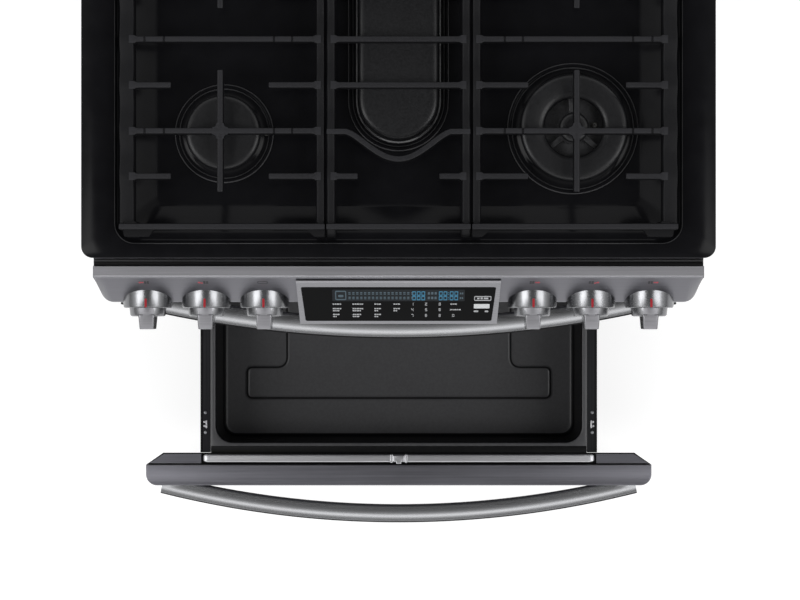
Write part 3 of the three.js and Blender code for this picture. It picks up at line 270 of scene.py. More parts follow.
# Black trim, also used as painted shade: the handles' steep sides and the black strip in the gap under the
# fascia's rear lip.
BLACK_TRIM_AND_SHADE = grained("black_trim_and_painted_shade", (0.003, 0.003, 0.0034), 0.2, (0.35, 0.5), 200, relief=0.05, specular=0.1)
ZINC = grained("galvanised_steel", (0.30, 0.31, 0.32), 0.18, (0.35, 0.55), 60, relief=0.05, metallic=1.0)
RAIL_STEEL = grained("rail_steel", (0.018, 0.0185, 0.020), 0.15, (0.35, 0.5), 1.0, (700, 6, 700),
                     relief=0.04,
                     metallic=0.9)
CHROME = grained("chrome_wire", (0.55, 0.56, 0.58), 0.05, (0.10, 0.18), 90, metallic=1.0)
OVEN_ENAMEL = speckled("oven_enamel", (0.012, 0.016, 0.028), (0.30, 0.32, 0.38), (0.20, 0.35))
GLASS_WOOL = grained("glass_wool", (0.55, 0.45, 0.17), 0.30, (0.85, 0.98), 240, relief=0.8, depth=0.002)
GASKET = grained("woven_gasket", (0.035, 0.035, 0.036), 0.5, (0.85, 0.97), 500, relief=0.9, depth=0.0008)
FOOT_PLASTIC = grained("foot_plastic", (0.015, 0.015, 0.015), 0.2, (0.5, 0.7), 500, relief=0.15)
CERAMIC = grained("igniter_ceramic", (0.035, 0.034, 0.032), 0.08, (0.35, 0.5), 300, relief=0.05)
RED_INK = grained("red_ink", (0.30, 0.007, 0.014), 0.10, (0.4, 0.5), 400, specular=0.3)
MARK_RED = grained("mark_red_ink", (0.30, 0.055, 0.07), 0.10, (0.4, 0.5), 400, specular=0.2)
MARK_GREY = grained("mark_grey_ink", (0.035, 0.035, 0.038), 0.10, (0.4, 0.5), 400, specular=0.2)
WHITE_INK = grained("white_ink", (0.50, 0.51, 0.52), 0.08, (0.4, 0.5), 400, specular=0.2)
SOFT_WHITE_INK = grained("soft_white_ink", (0.33, 0.335, 0.345), 0.08, (0.4, 0.5), 400, specular=0.1)
DIGIT_GLOW = glowing("display_glow", (0.045, 0.165, 0.26), 0.75)
DOT_GLOW = glowing("display_dots", (0.070, 0.100, 0.120), 0.5)
DIGIT_FIELD = glowing("display_field", (0.012, 0.015, 0.018), 0.3)


# ---------------------------------------------------------------- drawing helpers

STADIUM_STEPS = 24
SLAB_STEPS = 3
LONGEST_ROUNDING = 0.48
STRAIGHT_ANGLE = 89
WELD = 1e-6


def arc(x, y, radius_x, radius_y, start, end, steps=8):
    """Points of an elliptical arc in degrees, both ends included."""
    angles = [math.radians(start + (end - start) * i / steps) for i in range(steps + 1)]
    return [(x + radius_x * math.cos(a), y + radius_y * math.sin(a)) for a in angles]


def rounded_rectangle(x, y, radius, steps=8):
    """A counter-clockwise outline with round corners between two x and two y values."""
    (x0, x1), (y0, y1) = x, y
    r = max(radius, 0.05)
    return (arc(x1 - r, y0 + r, r, r, -90, 0, steps) + arc(x1 - r, y1 - r, r, r, 0, 90, steps)
            + arc(x0 + r, y1 - r, r, r, 90, 180, steps) + arc(x0 + r, y0 + r, r, r, 180, 270, steps))


def stadium(half_width, half_length, middle):
    """A round-ended outline, its length along y."""
    reach = half_length - half_width
    return (arc(0, middle + reach, half_width, half_width, 0, 180, STADIUM_STEPS)
            + arc(0, middle - reach, half_width, half_width, 180, 360, STADIUM_STEPS))


def fillet(points, radii, steps=5, closed=True):
    """The outline with its corners rounded. radii is one number or one for each corner."""
    count = len(points)
    sizes = [radii] * count if isinstance(radii, (int, float)) else radii
    made = []
    for i, corner in enumerate(points):
        at_end = not closed and i in (0, count - 1)
        here = Vector(corner)
        before = Vector(points[i - 1]) - here
        after = Vector(points[(i + 1) % count]) - here
        if at_end or sizes[i] <= 0 or before.length == 0 or after.length == 0:
            made.append(tuple(here))
            continue
        half = before.angle(after) / 2
        if half > math.radians(STRAIGHT_ANGLE):
            made.append(tuple(here))
            continue
        reach = min(sizes[i] / math.tan(half), LONGEST_ROUNDING * before.length,
                    LONGEST_ROUNDING * after.length)
        start = here + before.normalized() * reach
        end = here + after.normalized() * reach
        for step in range(steps + 1):
            t = step / steps
            made.append(tuple((1 - t) ** 2 * start + 2 * t * (1 - t) * here + t * t * end))
    return made


def skin(rings, loop=False):
    """Quads between rings of points, with flat caps or joined end to end."""
    count = len(rings[0])
    verts = [tuple(p) for ring in rings for p in ring]
    faces = []
    last = len(rings) if loop else len(rings) - 1
    for r in range(last):
        base = r * count
        above = ((r + 1) % len(rings)) * count
        for i in range(count):
            j = (i + 1) % count
            faces.append((base + i, base + j, above + j, above + i))
    if not loop:
        faces.append(tuple(reversed(range(count))))
        top = (len(rings) - 1) * count
        faces.append(tuple(range(top, top + count)))
    return verts, faces


def merge(*parts):
    """Several (verts, faces) drawings as one."""
    verts, faces = [], []
    for part_verts, part_faces in parts:
        offset = len(verts)
        verts += part_verts
        faces += [tuple(i + offset for i in face) for face in part_faces]
    return verts, faces


def moved(part, shift=(0, 0, 0), turn=None):
    """A drawing turned by a function of a point, then shifted."""
    verts, faces = part
    turned = [turn(v) for v in verts] if turn else verts
    return [tuple(a + b for a, b in zip(v, shift)) for v in turned], faces


def pillow(outline, z, edge, steps=3):
    """A slab with rounded top and bottom edges. outline(inset) gives its outline."""
    z0, z1 = z
    angles = [math.radians(90 * i / steps) for i in range(steps + 1)]
    low = [(edge * (1 - math.sin(a)), z0 + edge * (1 - math.cos(a))) for a in angles]
    high = [(inset, z0 + z1 - height) for inset, height in reversed(low)]
    return skin([[(x, y, height) for x, y in outline(inset)] for inset, height in low + high])


def slab(x, y, z, corner=1.0, edge=0.8):
    """A box with rounded corners and edges."""
    def outline(inset):
        across, along = (x[0] + inset, x[1] - inset), (y[0] + inset, y[1] - inset)
        return rounded_rectangle(across, along, corner - inset / 2, SLAB_STEPS)
    return pillow(outline, z, min(edge, (z[1] - z[0]) / 2.2), SLAB_STEPS)


def side_slab(side, x, y, z, **how):
    """slab() on the left or the right, its x measured from the middle."""
    across = sorted((side * x[0], side * x[1]))
    return slab(across, y, z, **how)


def lathe(profile, steps=72, closed=False, radius_at=None):
    """A profile of (radius, height) turned about z. Unless it is closed, it starts and ends on the axis."""
    rings = []
    for i in range(steps):
        angle = 2 * math.pi * i / steps
        ring = []
        for k, (radius, height) in enumerate(profile):
            r = radius_at(i, k, radius) if radius_at else radius
            ring.append((r * math.cos(angle), r * math.sin(angle), height))
        rings.append(ring)
    verts, faces = skin(rings, loop=True)
    if closed:
        return verts, faces
    open_edge = len(profile) - 1
    kept = [f for f in faces if not {f[0] % len(profile), f[1] % len(profile)} == {0, open_edge}]
    return verts, kept


def sweep(path, section, up=(0, 0, 1), loop=False):
    """A section of (sideways, upward) points carried along a path."""
    up = Vector(up)
    points = [Vector(p) for p in path]
    count = len(points)
    rings = []
    for i, point in enumerate(points):
        before = points[i - 1] if i or loop else point
        after = points[(i + 1) % count] if i < count - 1 or loop else point
        tangent = (after - before).normalized()
        side = tangent.cross(up).normalized()
        rise = side.cross(tangent)
        rings.append([tuple(point + side * u + rise * v) for u, v in section])
    return skin(rings, loop=loop)


def round_section(radius, steps=10):
    """The section of a round wire."""
    return arc(0, 0, radius, radius, 0, 360 - 360 / steps, steps - 1)


def facing_cook(point):
    """Turns a drawing that stands on z so that its top faces the cook."""
    x, y, z = point
    return (x, -z, y)


def drawn_object(name, part, weld=True):
    """An object in the scene with a drawing as its mesh, its faces turned outwards."""
    verts, faces = part
    mesh = bpy.data.meshes.new(name)
    mesh.from_pydata([place(v) for v in verts], [], faces)
    work = bmesh.new()
    work.from_mesh(mesh)
    if weld:
        bmesh.ops.remove_doubles(work, verts=work.verts, dist=WELD)
    bmesh.ops.recalc_face_normals(work, faces=work.faces)
    work.to_mesh(mesh)
    work.free()
    made = bpy.data.objects.new(name, mesh)
    bpy.context.scene.collection.objects.link(made)
    return made


def make(name, part, material, body, replaced=(), angle=35):
    """A piece in the scene: drawn mesh, material, body and replaced CAD nodes."""
    piece = drawn_object(name, part)
    smooth(piece.data, angle)
    piece.data.materials.append(material)
    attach(piece, body)
    if replaced:
        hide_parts(*replaced)
    return piece


def second_material(piece, material, chosen):
    """Gives the faces that chosen(middle, normal) picks another material. middle is in drawn millimetres."""
    mesh = piece.data
    mesh.materials.append(material)
    for face in mesh.polygons:
        x, y, z = face.center
        if chosen(Vector((x / MM, (y - FRONT_EDGE) / MM, z / MM)), face.normal):
            face.material_index = len(mesh.materials) - 1


def smooth(mesh, angle):
    """Smooth faces, with sharp edges where they meet at more than an angle in degrees."""
    mesh.polygons.foreach_set("use_smooth", [True] * len(mesh.polygons))
    mesh.set_sharp_from_angle(angle=math.radians(angle))


def carve(piece, *cutters, angle=35):
    """Cuts drawn solids out of a piece."""
    for part in cutters:
        tool = drawn_object("cutter", part, weld=False)
        modifier = piece.modifiers.new("cut", "BOOLEAN")
        modifier.object = tool
        modifier.operation = "DIFFERENCE"
        modifier.solver = "EXACT"
        bpy.context.view_layer.update()
        evaluated = piece.evaluated_get(bpy.context.evaluated_depsgraph_get())
        result = bpy.data.meshes.new_from_object(evaluated)
        piece.modifiers.remove(modifier)
        piece.data = result
        bpy.data.objects.remove(tool)
    smooth(piece.data, angle)
    return piece


def finish_node(name, material, bevel=0.0):
    """Gives a CAD node that stays its material, and soft edges where wanted."""
    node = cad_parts[name]
    node.data.materials.clear()
    node.data.materials.append(material)
    if bevel:
        modifier = node.modifiers.new("soft_edges", "BEVEL")
        modifier.width = bevel * MM
        modifier.segments = 2
        modifier.limit_method = "ANGLE"
        modifier.angle_limit = math.radians(40)
        modifier.use_clamp_overlap = True


# ---------------------------------------------------------------- cooktop

# Inset from the side and from the front, corner radius and height, from the outer edge over the rim and
# down to the well's floor.
DECK_STEPS = [
    (0.0, 0.0, 14, -9), (0.0, 0.0, 14, -0.8), (0.25, 0.25, 13.8, -0.25), (0.8, 0.8, 13.2, 0),
    (38.4, 15.8, 25.4, 0), (39.6, 17.0, 24.4, -0.3), (40.6, 18.0, 23.6, -1.2), (42.6, 20.2, 22.6, -4.6),
    (44.0, 21.8, 22, -5.8), (46.0, 23.6, 21.4, -6.4), (52.0, 29.8, 20.4, -7.0), (53.6, 31.6, 20, -7.6),
    (55.4, 33.4, 19.6, -8.8), (86.2, 61.4, 13, -22.4), (88.4, 63.4, 12.2, -23.4), (91.4, 66.2, 11.2, -24),
]
UNDER_STEPS = [
    (1.5, 1.5, 12.6, -9), (1.5, 1.5, 12.6, -1.6), (37, 14.5, 27, -1.6), (53, 31, 21, -9), (86, 61, 13, -24),
    (91.4, 66.2, 11.2, -24),
]
DECK_SKIN = 1.6
RIM_DEPTH = 1.3


def deck_ring(step, skin_depth=0.0):
    """One outline of the cooktop. The well's rear mirrors its front, and the outer edge keeps its depth."""
    side, front, radius, height = step
    outer = front < 10
    rear = COOKTOP_Y[1] - front if outer else 2 * WELL_MIDDLE - front
    half = COOKTOP_HALF - side
    outline = rounded_rectangle((-half, half), (front, rear), radius, 10)
    return [(x, y, DECK_TOP + height - skin_depth) for x, y in outline]


def cooktop():
    """The enamelled pan: deck, rim and well, with its own thickness below."""
    top = [deck_ring(step) for step in DECK_STEPS]
    under = [deck_ring(step, DECK_SKIN if step[3] > -9 or step[0] > 2 else 0) for step in UNDER_STEPS]
    whole = skin(list(reversed(under)) + top)
    pan = make("cooktop_pan", whole, ENAMEL, BODY, ["cooktop"], angle=50)

    # The rim's sloping faces get a painted highlight.
    def rim(middle, normal):
        return 0.25 < normal.z < 0.9 and middle.z > DECK_TOP - RIM_DEPTH
    second_material(pan, ENAMEL_HIGHLIGHT, rim)


# ---------------------------------------------------------------- burners

# Name, cap radius, drip ring radius and turn of the igniter in degrees.
ROUND_BURNERS = [("front_left", 45, 59.5, 2), ("rear_left", 37, 51, -20), ("rear_right", 30, 44, 200)]
TWO_RING = {"cap": 64.5, "ring": 79, "opening": 35, "inner": 18}
TWO_RING_SPOKES = (95, 220, 320)
OVAL = {"cap": (48, 117.4), "ring": (60.7, 130)}
PORT_STEPS = 144
PORT_DEPTH = 1.6
HEAD_INSET = 3
LID_GAP = 0.3
# Inset and height above the seat of a drip ring's raised edge.
RING_EDGE = [(0, 0), (0, 1.6), (1.2, 3), (3.4, 3.2), (5.2, 2.4), (6.4, 1.2)]
IGNITER_BODY = [(0, 0), (4.2, 0), (4.2, 3), (3, 4), (3, 11), (2.2, 12), (0, 12)]
IGNITER_TIP = [(0, 11.5), (0.9, 11.5), (0.9, 16), (0.4, 16.8), (0, 16.8)]


def burner_levels(node):
    """Seat, head top and cap top of a burner, from its CAD nodes."""
    cap = span(f"burner_cap_{node}")[2]
    return WELL_FLOOR + 0.25, cap[0] - LID_GAP, cap[1]


def centre_of(node):
    """The x and y of a CAD node's middle."""
    (x0, x1), (y0, y1), _ = span(node)
    return (x0 + x1) / 2, (y0 + y1) / 2


def drip_ring(outer, head, seat):
    """The raised ring on the well's floor round a burner."""
    edge = [(outer - inset, seat + up) for inset, up in RING_EDGE]
    floor = [(head + out, seat + up) for out, up in ((7, 1.0), (4.5, 2.2), (1, 3.4), (-4, 3.6))]
    return lathe([(head - 4, seat)] + edge + floor, 96, closed=True)


def ring_edge(middle, normal):
    """Whether a face is the sloping outer edge of a drip ring, which gets a painted highlight."""
    return 0.45 < normal.z < 0.85


def port_radius(first, last, depth):
    """Cuts flame ports into the profile points between first and last."""
    def radius_at(step, point, radius):
        inside = first <= point <= last and step % 4 in (0, 1)
        return radius - depth if inside else radius
    return radius_at


def head_wall(seat, top, recess=0):
    """Inset and height of a burner head's side, its band of ports set in by a recess."""
    return [(0, seat + 2), (0, seat + 7), (recess, seat + 7.4), (recess, top - 3.2), (0, top - 2.8),
            (0, top - 0.8), (0.8, top)]


def cap_edge(seat, top):
    """Inset and height of a burner cap's side and soft upper edge."""
    return [(1.4, seat), (0, seat + 1.2), (0, top - 4.6), (0.7, top - 2.6), (2.4, top - 1), (5, top - 0.2),
            (8, top)]


def burner_head(radius, seat, top, inner=0.0):
    """The head with a row of flame ports round its side, solid or with an inner opening."""
    wall = [(radius - inset, z) for inset, z in head_wall(seat, top)]
    ports = port_radius(3, 4, PORT_DEPTH)
    if inner:
        profile = [(inner, seat + 2)] + wall + [(inner + 0.8, top), (inner, top - 0.8)]
        return lathe(profile, PORT_STEPS, closed=True, radius_at=ports)
    return lathe([(0, seat + 2)] + wall + [(0, top)], PORT_STEPS, radius_at=ports)


def round_cap(radius, seat, top):
    """An enamelled cap with a soft edge and a slightly dished top."""
    edge = [(radius - inset, z) for inset, z in cap_edge(seat, top)]
    dish = [(radius * 0.55, top - 0.5), (radius * 0.2, top - 0.8), (0, top - 0.8)]
    return lathe([(0, seat)] + edge + dish, 96)


def igniter(name, centre, reach, turn, seat):
    """A ceramic pin with a metal tip beside the burner."""
    x = centre[0] + reach * math.cos(math.radians(turn))
    y = centre[1] + reach * math.sin(math.radians(turn))
    body = lathe([(radius, seat + up) for radius, up in IGNITER_BODY], 20)
    tip = lathe([(radius, seat + up) for radius, up in IGNITER_TIP], 12)
    make(f"igniter_{name}", moved(body, (x, y, 0)), CERAMIC, BODY)
    make(f"igniter_tip_{name}", moved(tip, (x, y, 0)), BURNER_METAL, BODY)


def make_drip_ring(name, part):
    """A drip ring in the scene, with a painted highlight on its sloping edge."""
    ring = make(f"drip_ring_{name}", part, ENAMEL, BODY)
    second_material(ring, ENAMEL_HIGHLIGHT, ring_edge)


def make_head(name, part):
    """A burner's head in the scene, in place of its CAD base."""
    make(f"burner_head_{name}", part, BURNER_METAL, BODY, [f"burner_base_{name}"])


def make_lid(name, part):
    """A burner's cap in the scene, in place of its CAD cap."""
    make(f"burner_lid_{name}", part, CAP_ENAMEL, BODY, [f"burner_cap_{name}"])


def round_burner(name, cap, ring, turn):
    """A plain round burner with its drip ring, head, cap and igniter."""
    centre = centre_of(f"burner_cap_{name}")
    seat, head_top, cap_top = burner_levels(name)
    head = cap - HEAD_INSET
    shift = (*centre, 0)
    make_drip_ring(name, moved(drip_ring(ring, head, seat), shift))
    make_head(name, moved(burner_head(head, seat, head_top), shift))
    make_lid(name, moved(round_cap(cap, head_top + LID_GAP, cap_top), shift))
    igniter(name, centre, head + 8.5, turn, seat + 1)


def turned(part, degrees):
    """A drawing turned about the z axis."""
    a = math.radians(degrees)
    return moved(part, turn=lambda p: (p[0] * math.cos(a) - p[1] * math.sin(a),
                                       p[0] * math.sin(a) + p[1] * math.cos(a), p[2]))


def two_ring_burner():
    """The large burner: an outer ring cap with an opening, and a small cap in its middle."""
    name = "front_right"
    centre = centre_of(f"burner_cap_{name}")
    seat, head_top, cap_top = burner_levels(name)
    cap, ring, opening, inner = (TWO_RING[key] for key in ("cap", "ring", "opening", "inner"))
    shift = (*centre, 0)
    bottom = head_top + LID_GAP
    make_drip_ring(name, moved(drip_ring(ring, cap - HEAD_INSET, seat), shift))
    outer_head = burner_head(cap - HEAD_INSET, seat, head_top, opening + HEAD_INSET)
    inner_head = burner_head(inner + 1, seat, head_top - 1)
    floor = lathe([(0, seat), (opening + 6, seat), (opening + 6, seat + 2.6), (0, seat + 2.6)], 64)
    bridge = slab((inner - 2, opening + 6), (-3.2, 3.2), (seat + 3, head_top - 4))
    bridges = [turned(bridge, angle) for angle in TWO_RING_SPOKES]
    make_head(name, moved(merge(outer_head, inner_head, floor, *bridges), shift))
    edge = [(cap - inset, z) for inset, z in cap_edge(bottom, cap_top)]
    mouth = [(opening + out, cap_top - down) for out, down in ((8, 0.4), (3, 1.4), (0.8, 3), (0, 5))]
    make_lid(name, moved(lathe([(opening, bottom)] + edge + mouth, 120, closed=True), shift))
    make_lid(f"{name}_inner", moved(round_cap(inner, bottom, cap_top), shift))
    igniter(name, centre, inner + 8, 8, seat + 3)


def oval_burner():
    """The long centre burner."""
    seat, head_top, cap_top = burner_levels("centre")
    middle = centre_of("burner_cap_centre")[1]
    cap_width, cap_length = OVAL["cap"]
    ring_width, ring_length = OVAL["ring"]

    def outline(inset, z, width=cap_width, length=cap_length):
        return [(x, y, z) for x, y in stadium(width - inset, length - inset, middle)]
    ring_steps = RING_EDGE + [(9.5, 1.0), (11.5, 2.6), (16, 3.4)]
    make_drip_ring("centre", skin([outline(inset, seat + up, ring_width, ring_length) for inset,
                                   up in ring_steps]))
    head_steps = head_wall(seat, head_top, recess=1.4)
    make_head("centre", skin([outline(HEAD_INSET + inset, z) for inset, z in head_steps]))
    cap_steps = cap_edge(head_top + LID_GAP, cap_top) + [(16, cap_top - 0.3), (30, cap_top - 0.7)]
    make_lid("centre", skin([outline(inset, z) for inset, z in cap_steps]))


# ---------------------------------------------------------------- grates

BAR_HALF = 4.15
FINGER_DEPTH = 14
RAIL_DROP = 6
RAIL_DEPTH = 18
FINGER_Y = (96.5, 204.6)
FRONT_BAR_Y = 36.9
CROSS_Y = sum(span("burner_cap_front_left")[1]) / 2
BEND_Y = 149.5
BEND = {"dip": 32.7, "shoulder": 62, "edge": 85, "ease": 1.35}
BEND_STEPS = 24
CENTRE_RAIL = (74.5, 86)
CENTRE_FINGER_END = 48.6
TOE_Y = 24.5
FOOT_LENGTH = 6
SIDE_RAILS = {"outer": (313, 332), "inner": (87, 98.5)}
FINGER_ENDS = {"outer": 270, "inner": 153.6}
ARM_REACH = 72
ARM_X = 211.5
WEB_RADIUS = 5.0
ROOT_IN_RAIL = 6.5
BAR_NOTCHES = (126, 147.5, 278, 301)
GUSSETS = ([(328, 36), (289, 36), (297, 25), (326, 25)], [(88, 36), (112, 36), (100, 25), (88, 25)])


def painted_shade_low_face(middle, normal):
    """Whether a grate's face lies below the bars' tops; these low faces get painted shade."""
    return middle.z < GRATE_TOP - 0.32


def mirrored(y):
    """The place behind the well's middle that answers one in front."""
    return 2 * WELL_MIDDLE - y


def cast_section(half, depth):
    """Section of a cast bar: a little narrower at the top, with rounded edges."""
    return fillet([(-half, -depth), (half, -depth), (half - 0.7, 0), (-half + 0.7, 0)], [1.2, 1.2, 1.5, 1.5],
                  3)


ROOT_FLARE = ((0, 1.4), (1.2, 1.18), (2.6, 1.05), (4.5, 1.0))
TIP_SHAPE = ((0, 0.90, 0.55), (1.2, 1.0, 0.72), (16, 1.0, 1.0))
NOTCH = (1.3, 0.5, 0.8)


def bar_end(root, tapered):
    """Stations (distance from the end, width, height) of one end of a cast bar."""
    if tapered:
        return list(TIP_SHAPE)
    if root:
        return [(0, ROOT_FLARE[0][1], 1.0)] + [(root + along, width, 1.0) for along, width in ROOT_FLARE]
    return [(0, 0.86, 0.92), (1.4, 1.0, 1.0)]


def cast_bar(start, end, root=(0, 0), tip=(False, False), top=GRATE_TOP, notches=()):
    """A straight cast bar between two (x, y) points.

    It flares where it leaves a rail, a root's length from its end, and a tip tapers down. Notches are
    distances along it.
    """
    a, b = Vector((*start, top)), Vector((*end, top))
    along = (b - a).normalized()
    length = (b - a).length
    side = along.cross(Vector((0, 0, 1)))
    stations = [(at, width, tall, 0) for at, width, tall in bar_end(root[0], tip[0])]
    stations += [(length - at, width, tall, 0) for at, width, tall in bar_end(root[1], tip[1])]
    wide, narrow, drop = NOTCH
    for at in notches:
        stations += [(at - wide, 1, 1, 0), (at - narrow, 0.94, 1, drop), (at + narrow, 0.94, 1, drop),
                     (at + wide, 1, 1, 0)]
    rings = []
    for at, width, tall, low in sorted(stations):
        section = cast_section(BAR_HALF * width, FINGER_DEPTH * tall)
        rings.append([tuple(a + along * at + side * u + Vector((0, 0, v - low))) for u, v in section])
    return skin(rings)


def crossing_web(x, y):
    """The rounded inner corners where two bars cross."""
    reach = BAR_HALF + WEB_RADIUS
    outline = []
    for quarter in range(4):
        turn = math.radians(90 * quarter + 45)
        corner = (x + reach * math.sqrt(2) * math.cos(turn), y + reach * math.sqrt(2) * math.sin(turn))
        outline += arc(*corner, WEB_RADIUS, WEB_RADIUS, 270 + 90 * quarter, 180 + 90 * quarter, 5)
    return skin([[(px, py, z) for px, py in outline] for z in (GRATE_TOP - FINGER_DEPTH, GRATE_TOP - 0.25)])


def foot_gusset(side, plan):
    """The web that widens a grate's foot towards its rail."""
    outline = fillet([(side * px, py) for px, py in plan], 2, 4)
    return skin([[(px, py, z) for px, py in outline] for z in (GRATE_TOP - 20, GRATE_TOP - 8)])


def rail_bar(side, x, y_span, tops):
    """A lower side rail that ramps up to the full height at each crossing bar."""
    x0, x1 = sorted((side * x[0], side * x[1]))
    stations = [(y_span[0], 0)]
    for y in sorted(tops):
        stations += [(y - 17, 0), (y - 5.5, RAIL_DROP), (y + 5.5, RAIL_DROP), (y + 17, 0)]
    stations.append((y_span[1], 0))
    kept = [s for s in stations if y_span[0] <= s[0] <= y_span[1]]
    rings = []
    for y, rise in kept:
        top = GRATE_TOP - RAIL_DROP + rise - (0.4 if rise else 0)
        low = GRATE_TOP - RAIL_DROP - RAIL_DEPTH
        outline = fillet([(x0, low), (x1, low), (x1 - 1.2, top), (x0 + 1.2, top)], [1.5, 1.5, 2, 2], 3)
        rings.append([(px, y, pz) for px, pz in outline])
    return skin(rings)


def cast_foot(side, x, y, toe):
    """A foot that widens to a chamfered toe on the well's ledge. toe is the way it points along y."""
    x0, x1 = sorted((side * x[0], side * x[1]))
    near, far = y
    rings = []
    for height, reach, inset in ((GRATE_FOOT, 0.5, 1.4), (GRATE_FOOT + 1.2, 0, 0.2), (GRATE_FOOT + 9, 0, 0),
                                 (GRATE_TOP - 14, 4, 0), (GRATE_TOP - 8, 8, 0.6), (GRATE_TOP - 4, 11.5, 2)):
        front = near + reach * toe
        ys = sorted((front, far))
        outline = rounded_rectangle((x0 + inset, x1 - inset), ys, 2.5, 4)
        rings.append([(px, py, height) for px, py in outline])
    return skin(rings)


def side_grate(hand, side):
    """The left or right grate, over two burners."""
    (outer0, outer1), (inner0, inner1) = SIDE_RAILS["outer"], SIDE_RAILS["inner"]
    front, rear = FRONT_BAR_Y, mirrored(FRONT_BAR_Y)
    crossings = [FINGER_Y[0], CROSS_Y, FINGER_Y[1], WELL_MIDDLE,
                 *(mirrored(y) for y in (*FINGER_Y, CROSS_Y))]
    inner_end, outer_end = inner1 - ROOT_IN_RAIL, outer0 + ROOT_IN_RAIL
    root = (ROOT_IN_RAIL, ROOT_IN_RAIL)
    parts = [rail_bar(side, x, (front, rear), crossings) for x in SIDE_RAILS.values()]
    for y in (CROSS_Y, WELL_MIDDLE, mirrored(CROSS_Y)):
        parts.append(cast_bar((side * inner_end, y), (side * outer_end, y), root,
                              notches=[x - inner_end for x in BAR_NOTCHES]))
    for y in (front, rear):
        parts.append(cast_bar((side * (inner0 + 0.5), y), (side * (outer1 - 0.5), y)))
    for y in (*FINGER_Y, *(mirrored(y) for y in FINGER_Y)):
        parts.append(cast_bar((side * outer_end, y), (side * FINGER_ENDS["outer"], y), root,
                              tip=(False, True)))
        parts.append(cast_bar((side * inner_end, y), (side * FINGER_ENDS["inner"], y), root,
                              tip=(False, True)))
    for y in (CROSS_Y, mirrored(CROSS_Y)):
        parts.append(cast_bar((side * ARM_X, y - ARM_REACH), (side * ARM_X, y + ARM_REACH), tip=(True, True),
                              top=GRATE_TOP - 0.15))
        parts.append(crossing_web(side * ARM_X, y))
    for x in ((outer0 - 4, outer1 - 5.5), (inner0, inner1)):
        parts.append(cast_foot(side, x, (TOE_Y, front + FOOT_LENGTH), 1))
        parts.append(cast_foot(side, x, (mirrored(TOE_Y), rear - FOOT_LENGTH), -1))
    for plan in GUSSETS:
        parts.append(foot_gusset(side, plan))
        parts.append(foot_gusset(side, [(px, mirrored(py)) for px, py in plan]))
    parts.append(side_slab(side, (outer0, outer1 + 1), (WELL_MIDDLE - 7, WELL_MIDDLE + 7),
                           (GRATE_FOOT, GRATE_TOP - 20), corner=3, edge=1.2))
    grate = make(f"cast_grate_{hand}", merge(*parts), CAST_IRON, f"grate_{hand}", [f"grate_{hand}"])
    # painted shade: faces below the bars' tops get the darker iron
    second_material(grate, SHADED_IRON, painted_shade_low_face)


def bent_bar(mirror):
    """The bar that bends round the end of the oval burner."""
    shoulder = BEND["shoulder"]
    path = [(-BEND["edge"], BEND_Y)]
    for i in range(BEND_STEPS + 1):
        x = -shoulder + 2 * shoulder * i / BEND_STEPS
        ease = math.cos(math.pi * x / (2 * shoulder)) ** BEND["ease"]
        path.append((x, BEND_Y - BEND["dip"] * ease))
    path.append((BEND["edge"], BEND_Y))
    points = [(x, mirrored(y) if mirror else y, GRATE_TOP) for x, y in path]
    return sweep(points, cast_section(BAR_HALF, FINGER_DEPTH))


def centre_grate():
    """The narrow grate over the oval burner."""
    rail, half = CENTRE_RAIL, CENTRE_RAIL[1]
    front, rear = FRONT_BAR_Y, mirrored(FRONT_BAR_Y)
    crossings = [FINGER_Y[0], BEND_Y, FINGER_Y[1], WELL_MIDDLE, *(mirrored(y) for y in (*FINGER_Y, BEND_Y))]
    parts = [bent_bar(False), bent_bar(True)]
    root = (ROOT_IN_RAIL - 0.5, ROOT_IN_RAIL - 0.5)
    end = rail[0] + root[0]
    for y in (FINGER_Y[1], WELL_MIDDLE, mirrored(FINGER_Y[1])):
        parts.append(cast_bar((-end, y), (end, y), root))
    for y in (front, rear):
        parts.append(cast_bar((-half + 0.5, y), (half - 0.5, y)))
    for _, side in SIDES:
        parts.append(rail_bar(side, rail, (front, rear), crossings))
        for y in (FINGER_Y[0], mirrored(FINGER_Y[0])):
            parts.append(cast_bar((side * end, y), (side * CENTRE_FINGER_END, y), root, tip=(False, True)))
        parts.append(cast_foot(side, rail, (TOE_Y, front + FOOT_LENGTH), 1))
        parts.append(cast_foot(side, rail, (mirrored(TOE_Y), rear - FOOT_LENGTH), -1))
    grate = make("cast_grate_centre", merge(*parts), CAST_IRON, "grate_centre", ["grate_centre"])
    # painted shade: faces below the bars' tops get the darker iron
    second_material(grate, SHADED_IRON, painted_shade_low_face)


# ---------------------------------------------------------------- control panel

KNOB_NODES = [f"knob_{i}" for i in range(1, 7)]
KNOB_CENTRES = [centre_of(node)[0] for node in KNOB_NODES]
KNOB_Z = sum(span("knob_1")[2]) / 2
KNOB_BACK = span("knob_1")[1][1]
BEZEL_FRONT = PANEL_Y[0]
PANEL_FRONT = -52.8
PANEL_CORNER = (18, 24)
PANEL_SHEET = 1.5
MARK_DOWN = 15.5
SLANT_TOP_Y = -22.7
KNEE_Z = 838
INK = 0.12
ON_PANEL = 0.15
KNOB_BORE = 26
# Height above the skirt, half width, half height and corner radius of a knob's grip.
GRIP = [(-1.5, 11.0, 21.8, 4), (0.2, 10.1, 21.6, 3.0), (2.0, 9.7, 21.3, 2.4), (6.0, 9.4, 20.5, 2.2),
        (14.7, 8.7, 18.7, 2), (15.4, 8.5, 18.3, 1.9), (15.7, 8.0, 17.7, 1.5)]


def panel_front_limit(x):
    """The foremost y that the rounded plan corners allow at an x."""
    round_x, round_y = PANEL_CORNER
    past = abs(x) - (PANEL_X[1] - round_x)
    if past <= 0:
        return PANEL_FRONT
    return PANEL_FRONT + round_y * (1 - math.sqrt(max(0.0, 1 - (past / round_x) ** 2)))


